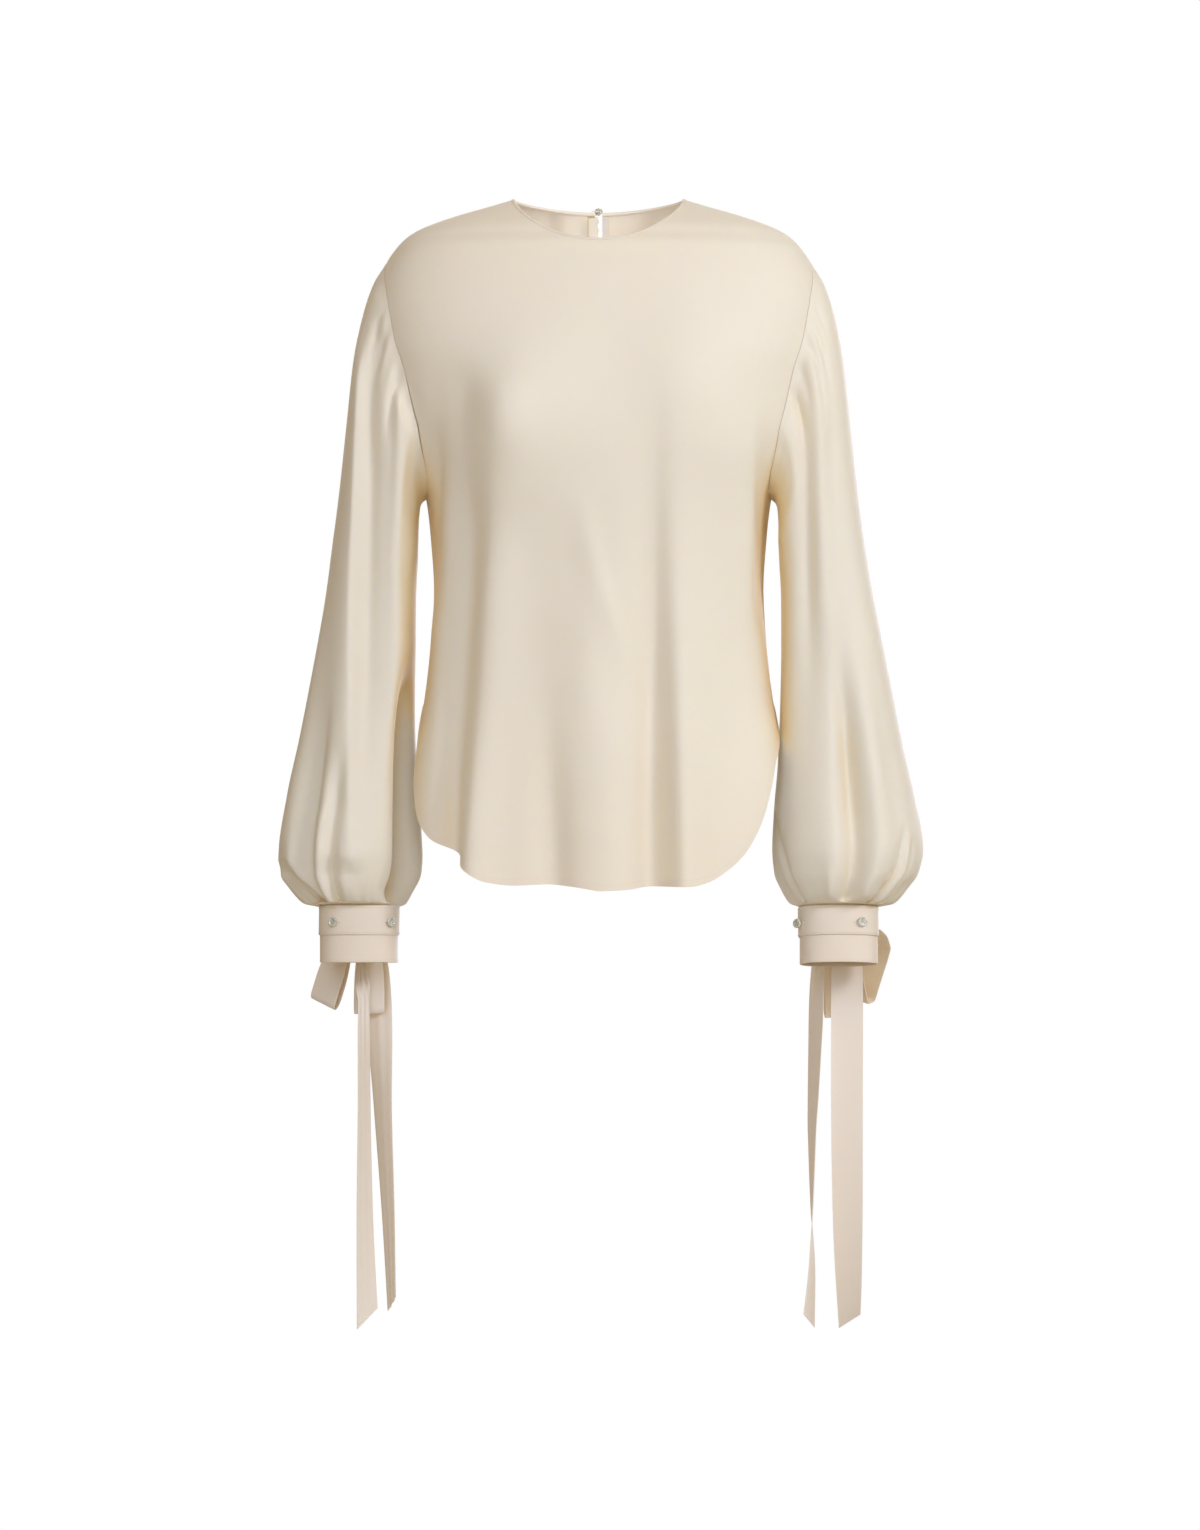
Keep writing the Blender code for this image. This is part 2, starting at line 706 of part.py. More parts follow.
def sleeve_push(angle, along):
    """How far folds and gathers move the sleeve out from its plain tube."""
    push = 0.0
    degrees = math.degrees(angle) % 360
    for i in range(len(SLEEVE_FOLDS["out"])):
        start, end = SLEEVE_FOLDS["start"][i], SLEEVE_FOLDS["end"][i]
        apart = (degrees - SLEEVE_FOLDS["angle"][i] + 180) % 360 - 180
        present = smoothstep(start, start + 0.15, along) * (1 - smoothstep(end - 0.12, end, along))
        push += SLEEVE_FOLDS["out"][i] * present * math.exp(-((apart / SLEEVE_FOLDS["width"][i]) ** 2))
    gathered = smoothstep(GATHER_START, 0.97, along) * (1 - 0.75 * smoothstep(0.97, 1.0, along))
    sides = 0.45 + 0.55 * math.cos(angle) ** 2
    return push + gathered * sides * GATHER_DEPTH * math.cos(GATHERS * angle)


def sleeve_grid(side):
    """Outer points and normals of a sleeve's rows; its first row lies along the armhole's edge."""
    ring = armhole_ring()
    columns = len(ring)
    angles = [2 * math.pi * j / columns for j in range(columns)]
    drift = [ring[j] - sleeve_section(side, angles[j], 0) for j in range(columns)]

    def point(j, along):
        fade = 1 - smoothstep(0, SLEEVE_JOIN_SHARE, along)
        place = sleeve_section(side, angles[j], along) + drift[j] * fade
        middle = (sleeve_section(side, 0, along) + sleeve_section(side, math.pi, along)) / 2
        away = (place - middle).normalized()
        return place + away * sleeve_push(angles[j], along) * min(along / 0.1, 1)

    rows = []
    for i in range(SLEEVE_ROWS + 1):
        t = i / SLEEVE_ROWS
        along = t * 0.55 + (1 - (1 - t) ** SLEEVE_ROW_PULL) * 0.45
        rows.append([point(j, along) + Vector((ARMHOLE_GAP, 0, 0)) * (i == 0) for j in range(columns)])
    normals = []
    for i, row in enumerate(rows):
        above, below = rows[max(i - 1, 0)], rows[min(i + 1, SLEEVE_ROWS)]
        for j in range(columns):
            around = row[(j + 1) % columns] - row[j - 1]
            down = below[j] - above[j]
            normals.append(around.cross(down).normalized())
    flat = [p for row in rows for p in row]
    if side == "right":
        flat = [Vector((-p.x, p.y, p.z)) for p in flat]
        normals = [Vector((-n.x, n.y, n.z)) for n in normals]
    return flat, normals, columns


def make_sleeve(side):
    points, normals, columns = sleeve_grid(side)
    faces = grid_faces(SLEEVE_ROWS + 1, columns, closed=True)
    if side == "left":
        faces = [tuple(reversed(face)) for face in faces]
    wall("sleeve_" + side, points, normals, faces, CLOTH, SILK)


# Cuffs, tie bands and bows


def cuff_point(side, turn, down, out=0.0):
    """A point on a cuff: turn from its front to the outer side, down from its top edge, out from its face."""
    facing = 1 if side == "left" else -1
    s, c = oval(turn)
    tilt = math.radians(CUFF_TILT)
    forward = Vector((0, -math.cos(tilt), math.sin(tilt)))
    downward = Vector((0, -math.sin(tilt), -math.cos(tilt)))
    top = Vector((facing * CUFF_X, CUFF_TOP_Y, CUFF_TOP_Z))
    face = Vector((facing * CUFF_HALF_WIDTH * s, 0, 0)) + forward * CUFF_HALF_DEPTH * c
    away = Vector((facing * math.sin(turn) / CUFF_HALF_WIDTH, 0, 0))
    away = (away + forward * math.cos(turn) / CUFF_HALF_DEPTH).normalized()
    return top + face + downward * down + away * out, away


def make_ring(name, side, top, bottom, out, thickness, finish):
    """A band of cloth round a wrist between two distances from the cuff's top edge."""
    points, normals = [], []
    for down in (top, bottom):
        for j in range(CUFF_COLUMNS):
            point, away = cuff_point(side, 2 * math.pi * j / CUFF_COLUMNS, down, out)
            points.append(point)
            normals.append(away)
    faces = grid_faces(2, CUFF_COLUMNS, closed=True)
    if side == "right":
        faces = [tuple(reversed(face)) for face in faces]
    wall(name, points, normals, faces, thickness, finish)


def make_cuff(side):
    make_ring("cuff_" + side, side, 0, CUFF_HEIGHT, 0.0, CUFF_CLOTH, CUFF_SILK)
    band_out = SEAM_GAP + TIE_CLOTH
    band_end = BAND_TOP_INSET + BAND_HEIGHT
    make_ring("tie_band_" + side, side, BAND_TOP_INSET, band_end, band_out, TIE_CLOTH, CUFF_SILK)
    middle = (BAND_TOP_INSET + band_end) / 2
    for place, turn in zip(("outer", "inner"), CUFF_BUTTONS[side]):
        centre, away = cuff_point(side, math.radians(turn), middle, band_out + SEAM_GAP)
        r, t = BUTTON_RADIUS, BUTTON_THICKNESS
        face = ((0.25 * t, 0.9 * r), (0.6 * t, r), (0.9 * t, 0.85 * r))
        profile = ((0, 0), (0, 0.55 * r), *face, (t, 0.5 * r), (t, 0))
        turned(f"cuff_button_{place}_{side}", profile, centre, away, 16, PEARL)


def knot_centre(side):
    facing = 1 if side == "left" else -1
    middle = BAND_TOP_INSET + BAND_HEIGHT / 2
    back, away = cuff_point(side, math.pi, middle, 2 * SEAM_GAP + TIE_CLOTH + KNOT_SIZE[1] / 2)
    return Vector((facing * KNOT_X, back.y, back.z)), away


def make_knot(side):
    """The bow's knot: a soft pillow that lies on the band behind the wrist."""
    centre, away = knot_centre(side)
    tilt = Matrix.Rotation(math.radians(-CUFF_TILT), 3, "X")
    wide, deep, high = (size / 2 for size in KNOT_SIZE)
    rows, sides = 7, 14
    points, faces = [centre + tilt @ Vector((0, 0, high))], []
    for i in range(1, rows):
        rise = math.pi * i / rows
        for k in range(sides):
            s, c = oval(2 * math.pi * k / sides)
            ring = math.sin(rise) ** 0.55
            points.append(centre + tilt @ Vector((wide * c * ring, deep * s * ring, high * math.cos(rise))))
    points.append(centre + tilt @ Vector((0, 0, -high)))
    last = len(points) - 1
    for k in range(sides):
        n = (k + 1) % sides
        faces.append((0, 1 + k, 1 + n))
        faces.append((last, last - sides + n, last - sides + k))
        for i in range(rows - 2):
            a, b = 1 + i * sides, 1 + (i + 1) * sides
            faces.append((a + k, b + k, b + n, a + n))
    make_object("bow_knot_" + side, points, faces, CUFF_SILK)


def loop_axes(side, lean, back, turn):
    """Directions down a loop's axis, across its strip and off its axis."""
    facing = 1 if side == "left" else -1
    lean, back, turn = (math.radians(a) for a in (lean, back, turn))
    down = Vector((facing * math.sin(lean), 0, -math.cos(lean)))
    down = (down * math.cos(back) + Vector((0, math.sin(back), 0))).normalized()
    outward = Vector((facing * math.cos(lean), 0, math.sin(lean)))
    behind = down.cross(outward) * -facing
    off = behind * math.cos(turn) + outward * math.sin(turn)
    return down, outward * math.cos(turn) - behind * math.sin(turn), off


def make_bow_loop(name, pose):
    side = pose["side"]
    facing = 1 if side == "left" else -1
    down, across, off = loop_axes(side, pose["lean"], pose["back"], pose["turn"])
    start = knot_centre(side)[0] + Vector((facing * pose["start"], 0, 0))
    rows = LOOP_SHAPES[pose["shape"]]
    steps = [rows["step"][-1] * i / LOOP_STEPS for i in range(LOOP_STEPS + 1)]
    length = pose["length"]
    middles = [start + down * read(rows, "down", s) * length + off * read(rows, "off", s) for s in steps]
    points, normals = [], []
    for i, step in enumerate(steps):
        run = middles[min(i + 1, LOOP_STEPS)] - middles[max(i - 1, 0)]
        out = run.cross(across).normalized()
        for edge in (-0.5, 0.5):
            width = edge * TIE_WIDTH * read(rows, "width", step)
            points.append(middles[i] + across * width + out * TIE_CLOTH / 2)
            normals.append(out)
    faces = [(2 * i, 2 * i + 2, 2 * i + 3, 2 * i + 1) for i in range(LOOP_STEPS)]
    wall(name, points, normals, faces, TIE_CLOTH, CUFF_SILK)


def make_tie_end(name, route):
    """A hanging end of a tie, cut to a slanting point."""
    top, bottom = route["z"][-1], route["z"][0]
    facing = 1 if route["x"][0] > 0 else -1
    points, normals = [], []
    for i in range(TIE_END_ROWS + 1):
        share = i / TIE_END_ROWS
        z = top + (bottom - top) * share
        turn = math.radians(read(route, "turn", z))
        across = Vector((math.cos(turn), -math.sin(turn) * facing, 0))
        out = Vector((-math.sin(turn) * facing, -math.cos(turn), 0))
        middle = Vector((read(route, "x", z), read(route, "y", z), z))
        for edge in (-0.5, 0.5):
            slant = Vector((0, 0, TIE_POINT_DROP * (0.5 + edge) * share ** 6))
            points.append(middle + across * edge * read(route, "width", z) + out * TIE_CLOTH / 2 + slant)
            normals.append(out)
    faces = [(2 * i, 2 * i + 2, 2 * i + 3, 2 * i + 1) for i in range(TIE_END_ROWS)]
    wall(name, points, normals, faces, TIE_CLOTH, CUFF_SILK)


for leftover in list(bpy.data.objects):
    bpy.data.objects.remove(leftover)

make_front()
make_back()
make_binding()
make_slit_strips()
make_neck_closure()
for wrist in ("left", "right"):
    make_sleeve(wrist)
    make_cuff(wrist)
    make_knot(wrist)
for loop, pose in BOW_LOOPS.items():
    make_bow_loop(loop, dict(zip(LOOP_POSE, pose)))
for end, route in TIE_ENDS.items():
    make_tie_end(end, route)
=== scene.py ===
"""The looks of a long-sleeved silk blouse in the form that it has when it is worn.

Lengths are in millimetres and angles in degrees, in the part's own frame: X to the wearer's left, -Y to
the front, +Z up, the origin between the shoulders. Cloth is a thin closed wall. Its outer points come from
the same rules as the part's solids, read at finer steps, with the creases laid on top.
"""

import math
import random

import bmesh
import bpy
import numpy as np
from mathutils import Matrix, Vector


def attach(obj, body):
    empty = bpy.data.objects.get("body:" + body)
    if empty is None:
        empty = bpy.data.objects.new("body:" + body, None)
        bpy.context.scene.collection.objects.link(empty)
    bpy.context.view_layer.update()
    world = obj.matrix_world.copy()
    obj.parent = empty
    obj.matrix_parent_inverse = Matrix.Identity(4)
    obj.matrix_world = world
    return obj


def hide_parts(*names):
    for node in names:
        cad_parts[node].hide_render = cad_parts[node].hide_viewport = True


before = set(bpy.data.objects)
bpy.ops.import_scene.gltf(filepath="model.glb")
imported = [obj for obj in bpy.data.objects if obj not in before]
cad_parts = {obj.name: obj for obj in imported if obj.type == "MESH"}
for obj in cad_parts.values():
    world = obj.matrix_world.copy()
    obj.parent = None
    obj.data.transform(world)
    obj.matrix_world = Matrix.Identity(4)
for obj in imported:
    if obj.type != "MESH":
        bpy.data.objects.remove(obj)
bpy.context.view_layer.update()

MM = 0.001
OUTWARD = {"left": 1, "right": -1}      # the sign of X towards a side
FORWARD = {"front": -1, "back": 1}      # the sign of Y towards a panel

# Camera: level and straight in front, at a distance that gives the photograph's slight perspective
PHOTO_SIZE = (1200, 1530)
MM_PER_PIXEL = 0.965
CAMERA_DISTANCE = 3600.0
CAMERA_X = 1.25
CAMERA_Z = -524.0
SENSOR = 36.0

# Cloth
CLOTH = 0.9
CUFF_CLOTH = 1.6
SQUARENESS = 0.10
SEAM_TURN = (1.6, 4.0)      # how deep a sewn edge turns inside
HEM_DEPTH = 6.5             # the narrow turned hem
HEM_THICKER = 0.8
HEM_PROUD = 0.25
HEM_FADE = (0.8, 0.4)       # how far before and after its depth its upper edge fades

# Front and back
NECK_HALF_WIDTH = 81.0
NECK_POINT_Z = 22.0
NECK_CURVE = {"front": (47.6, 1.35), "back": (4.6, 3.5)}      # how far it drops, and how round it is
SHOULDER_POINT_Z = -40.0
YOKE_LINE_DROP = 38.0
YOKE_LINE_ROUND = 1.5
UNDERARM_Z = -268.0
ARMHOLE_PULL = 1.8
BACK_HEM_RISE = 6.0
NECK_STEPS, ARMHOLE_STEPS, LOWER_STEPS = 30, 60, 110
FRONT_COLUMNS = 170
BACK_COLUMNS = 140

# Neckline
BINDING_HEIGHT = 3.4
BINDING_PROUD = 0.5
BINDING_DEEP = 1.7
SLIT_WIDTH = 7.0
SLIT_SPREAD = 34.0          # how far beside the slit the cloth still makes way for it
SLIT_END = 1.25             # the place down the back where the slit ends
SLIT_STRIP_CLOTH = 0.8
SLIT_STRIP_GAP = 0.25       # between the back and a strip
SLIT_STRIP_WIDTH = {"left": 6.0, "right": 9.0}
SLIT_STRIP_START = {"left": 0.0, "right": -2.5}    # how far beyond the slit's edge a strip begins
SLIT_STRIP_LIFT = {"left": 0.3, "right": 3.2}    # how far a strip's free edge stands off the back
NECK_BUTTON_RADIUS = 4.2
NECK_BUTTON_DROP = 1.5
# Height above its lower face, and the share of its radius
NECK_BUTTON_CAP = ((0.25, 0.7), (0.7, 0.92), (1.2, 1), (1.7, 0.95), (2.2, 0.75), (2.5, 0.45), (2.6, 0))
NECK_LOOP_RADIUS = 0.6
NECK_LOOP_REACH = 7.0
NECK_LOOP_BEND = 2.2        # the radius of its round end
SLIT_LOOPS = 15
SLIT_LOOP_SIZE = 1.5
SLIT_LOOP_TURN = 1.9        # how far a loop goes round to each side, in radians
SLIT_STEPS = 60
BINDING_STEPS = {"front": 150, "back": 60}

# Sleeves, cuffs and ties
SLEEVE_JOIN_SHARE = 0.35
SLEEVE_FULLER = {"left": 3.5, "right": -6.5}
SLEEVE_COLUMNS = 190
SLEEVE_ROWS = 180
ARMHOLE_GAP = 0.3
SLEEVE_TUCK = ((2.2, 2.0), (2.8, 7.0))      # how far in and down its end goes inside the cuff
CUFF_X = 229.7
CUFF_TOP_Y = -22.0
CUFF_TOP_Z = {"left": -660.4, "right": -658.4}
CUFF_HALF_WIDTH = 37.3
CUFF_HALF_DEPTH = 28.5
CUFF_HEIGHT = 55.0
CUFF_TILT = {"left": 8.0, "right": 3.5}
CUFF_COLUMNS = 160
BAND_TOP = 0.8
BAND_HEIGHT = 28.0
BAND_IN = 0.25              # how far its inner and its outer face lie off the cuff
BAND_OUT = 1.3
CUFF_RIPPLE, BAND_RIPPLE = 0.12, 0.1
TIE_CLOTH = 0.9
TIE_WIDTH = 31.0
KNOT_X = 231.0
KNOT_SIZE = (23.0, 11.0, 24.0)
KNOT_ROWS, KNOT_SIDES = 36, 64
TIE_POINT_DROP = 17.0
BUTTON_RADIUS = 4.6
BUTTON_THICKNESS = 3.0
BUTTON_DISH = 0.78          # the height of the face inside its rim, as a share of its thickness
# Shares of its thickness and of its radius, from its lower face over the rim
BUTTON_PROFILE = (
    (0, 0), (0, 0.5), (0.15, 0.82), (0.4, 0.97), (0.62, 1), (0.85, 0.94), (0.97, 0.86), (1, 0.78),
    (0.9, 0.66), (BUTTON_DISH, 0.5), (0.76, 0),
)
HOLE_PLACE = 0.95           # how far a hole lies from the middle, each way
HOLE_PROFILE = ((-0.1, 0), (-0.1, 0.42), (0.07, 0.42), (0.07, 0))
BUTTONHOLE_LENGTH = 15.0
THREAD = 0.22
HEM_STITCH, HEM_STITCH_GAP = 1.9, 0.9
BAND_STITCH, BAND_STITCH_GAP = 1.7, 0.8
BAND_STITCH_IN = 2.0
STITCH_SIDES = 6
STITCH_LIFT = 0.05
STITCH_SHAPE = ((0.0, -0.25), (0.12, 0.55), (0.5, 1.0), (0.88, 0.55), (1.0, -0.25))     # (along, rise)
HEM_ROW_POINTS = 400
HEM_ROW_REACH = 0.985       # how near to the side seams a hem's stitches go

# Floor
FLOOR_RADIUS = 740.0
FLOOR_Z = -1420.0
FLOOR_THICKNESS = 12.0
FLOOR_SIDES = 96


def table(columns, *rows):
    """A table with named columns, kept with the first column rising."""
    values = np.array(sorted(rows), float)
    return {name: values[:, i] for i, name in enumerate(columns.split())}


def read(source, column, at):
    """The column's values at places along the first column, on a smooth curve that never overshoots a row."""
    keys = next(iter(source.values()))
    values = source[column]
    chord = np.diff(values) / np.diff(keys)
    slope = np.empty(len(keys))
    slope[0], slope[-1] = chord[0], chord[-1]
    before, after = chord[:-1], chord[1:]
    same = before * after > 0
    slope[1:-1] = np.where(same, 2 * before * after / np.where(same, before + after, 1.0), 0.0)
    at = np.clip(at, keys[0], keys[-1])
    i = np.clip(np.searchsorted(keys, at, side="right") - 1, 0, len(keys) - 2)
    step = keys[i + 1] - keys[i]
    t = (at - keys[i]) / step
    return (
        values[i] * (1 + 2 * t) * (1 - t) ** 2
        + values[i + 1] * t * t * (3 - 2 * t)
        + step * (slope[i] * t * (1 - t) ** 2 - slope[i + 1] * t * t * (1 - t))
    )


def rows_of(source):
    """Each row of a table, by its columns' names."""
    return [dict(zip(source, values)) for values in zip(*source.values())]


def xyz(x, y, z):
    return np.stack(np.broadcast_arrays(x, y, z), axis=-1)


def turns(count):
    """Angles spaced evenly round a whole turn, in radians."""
    return np.linspace(0, 2 * math.pi, count, endpoint=False)


def unit(vectors):
    return vectors / np.linalg.norm(vectors, axis=-1, keepdims=True)


BODY = table(
    "z front_half back_half front_depth back_depth",
    (22, 81, 81, 8, 50),
    (18.5, 92, 92, 17, 57),
    (14, 106.5, 106.5, 26, 62.5),
    (6, 134, 134, 38, 70),
    (-2, 157.5, 157.5, 50, 76.5),
    (-10, 176, 176, 60, 82),
    (-18, 187.5, 187.5, 67, 86),
    (-28, 196.5, 196.5, 77, 90.5),
    (-40, 204.5, 204.5, 83, 94.5),
    (-63, 214, 214, 92, 99),
    (-90, 218, 218, 99, 103),
    (-120, 216, 216, 105, 105),
    (-155, 205, 205, 110, 106),
    (-197, 192, 192, 114, 105),
    (-225, 182, 182, 115, 104),
    (-250, 172, 172, 114, 103),
    (-268, 166.5, 166.5, 113, 102),
    (-306, 162, 162, 110, 100),
    (-355, 159, 159, 107, 98),
    (-403, 161.5, 161.5, 106, 98),
    (-461, 168, 167, 107, 100),
    (-480, 172, 168, 108, 101),
    (-501, 177, 168, 109, 102),
    (-548, 184, 167, 111, 104),
    (-600, 186, 166, 113, 105),
    (-645, 186, 166, 114, 106),
)
ARMHOLE = table(
    "z front_y back_y",
    (-40, 0, 0),
    (-46, 17, 18),
    (-63, 33, 36),
    (-84, 45, 50),
    (-113, 53, 60),
    (-145, 58, 66),
    (-197, 58, 66),
    (-222, 51, 58),
    (-245, 37, 42),
    (-260, 20, 22),
    (-268, 0, 0),
)
HEM = table(
    "share left right",
    (0.00, -642, -642),
    (0.08, -641, -638),
    (0.16, -638, -636),
    (0.26, -638, -637),
    (0.34, -634, -634),
    (0.42, -624, -622),
    (0.50, -609, -611),
    (0.56, -591, -604),
    (0.62, -569, -597),
    (0.68, -543, -586),
    (0.74, -522, -573),
    (0.80, -511, -547),
    (0.86, -500, -500),
    (0.93, -486, -483),
    (1.00, -470, -470),
)
SLEEVE = table(
    "along outer_x outer_z inner_x inner_z middle_y half_depth front_rise",
    (0.000, 205.5, -40, 166.5, -268, 4, 62, 0),
    (0.030, 216.5, -57, 171.2, -272, 4, 62, 0),
    (0.070, 226.5, -85, 173.4, -279, 4.5, 61.5, 0),
    (0.140, 236, -131, 174, -294, 6, 61, 0),
    (0.240, 243.5, -197, 174.8, -322, 8, 60, 0),
    (0.350, 251.5, -268, 176.8, -362, 10, 60, 0),
    (0.470, 262.5, -345, 177.3, -412, 12, 61, 0),
    (0.580, 274.5, -416, 176.5, -464, 12, 63, 0),
    (0.700, 288.5, -495, 174, -524, 10, 66, 0),
    (0.790, 301, -553, 170, -570, 5, 69, 1),
    (0.865, 308.5, -603, 168.5, -606, -3, 71, 2),
    (0.910, 305.0, -627, 171, -628, -8, 66.5, 3),
    (0.945, 294.5, -642.5, 178, -643, -13, 58.5, 4),
    (0.978, 279, -657.5, 187.5, -657.2, -18, 43, 4),
    (1.000, 267.0, -660, 192.4, -660, -22, 28.2, 4),
)

# Creases. Each runs from a top to a bottom and is bowed sideways between them. left and right
# are the widths of its two flanks, spread says how much wider it is at its bottom, out how far it stands out
# (a trough is below zero), sharp how crisp its crest is (2 round, 1 crisp), and rise and fall over what share
# of its length it comes and goes.
CREASE_COLUMNS = "x_top z_top x_bottom z_bottom bow left right spread out sharp rise fall"
FRONT_CREASES = table(
    CREASE_COLUMNS,
    (-150, -110, -150, -290, 0, 20, 24, 1, -4, 2, 0.5, 0.5),
    (-84, -90, -88, -315, 0, 42, 36, 1, 15, 2, 0.5, 0.5),
    (-124, -140, -124, -250, 0, 14, 16, 1, -4, 2, 0.45, 0.45),
    (-86, -140, -88, -250, 0, 17, 24, 1, 3.5, 2, 0.45, 0.45),
    (-121, -190, -147, -650, 0, 13, 16, 1, -16, 2, 0.3, 0),
    (-90, -200, -117, -650, 0, 15, 24, 1, 11, 2, 0.4, 0),
    (-147, -440, -148, -650, 0, 13, 13, 1, -11, 2, 0.8, 0),
    (-117, -440, -120, -650, 0, 13, 20, 1, 9, 2, 0.8, 0),
    (-146, -230, -160, -640, 0, 10, 14, 1.1, 4, 2, 0.3, 0),
    (-50, -300, -58, -650, 0, 14, 14, 1.3, -1.5, 2, 0.5, 0),
    (-12, -330, -8, -520, 0, 18, 18, 1.2, 3, 2, 0.4, 0.4),
    (-46, -430, -44, -650, 0, 14, 14, 1.3, -11, 2, 0.9, 0),
    (-17, -250, 30, -440, -8, 16, 10, 1, 3, 2, 0.4, 0.4),
    (-10, -400, 8, -650, 0, 22, 22, 1.3, 4, 2, 0.5, 0),
    (49, -120, 54, -650, 3, 26, 12, 0.9, -17, 2, 0.7, 0),
    (66, -220, 78, -650, 0, 12, 24, 1, 14, 1.9, 0.9, 0),
    (124, -200, 128, -650, 0, 22, 22, 1, -3, 2, 0.5, 0),
    (140, -180, 140, -430, 0, 26, 12, 1, 6, 2, 0.3, 0.4),
    (159, -190, 159, -420, 0, 10, 14, 1, -12, 2, 0.3, 0.4),
    (-157, -190, -158, -400, 0, 14, 9, 1, -10, 2, 0.3, 0.4),
)
# Where the cloth rests on the figure: the middle of a soft mound, its reach sideways, upwards and downwards,
# and how far it stands out.
FRONT_MOUNDS = table(
    "x z across up down out",
    (-46, -165, 46, 60, 85, 7),
    (86, -160, 50, 60, 85, 10),
)
BACK_CREASES = table(
    CREASE_COLUMNS,
    (-46, 22, -52, -90, 0, 7, 8, 1, 9, 2, 0.12, 0.5),
    (56, 22, 58, -80, 0, 9, 7, 1, 7, 2, 0.12, 0.5),
    (-128, -190, -118, -650, 3, 15, 20, 1, -9, 1.8, 0.5, 0),
    (-92, -160, -84, -650, -3, 20, 16, 1, 6, 2, 0.5, 0),
    (-48, -240, -52, -650, 4, 15, 20, 1.2, -8, 1.8, 0.5, 0),
    (-6, -180, -12, -650, 0, 24, 22, 1, 7, 2, 0.5, 0),
    (38, -280, 30, -650, 3, 18, 16, 1.1, -7, 1.7, 0.5, 0),
    (74, -200, 70, -650, -2, 18, 20, 1.2, 7, 2, 0.5, 0),
    (112, -150, 106, -650, 0, 20, 16, 0.9, -10, 1.8, 0.5, 0),
    (140, -240, 142, -620, 0, 20, 18, 0.9, 5, 2, 0.5, 0),
)
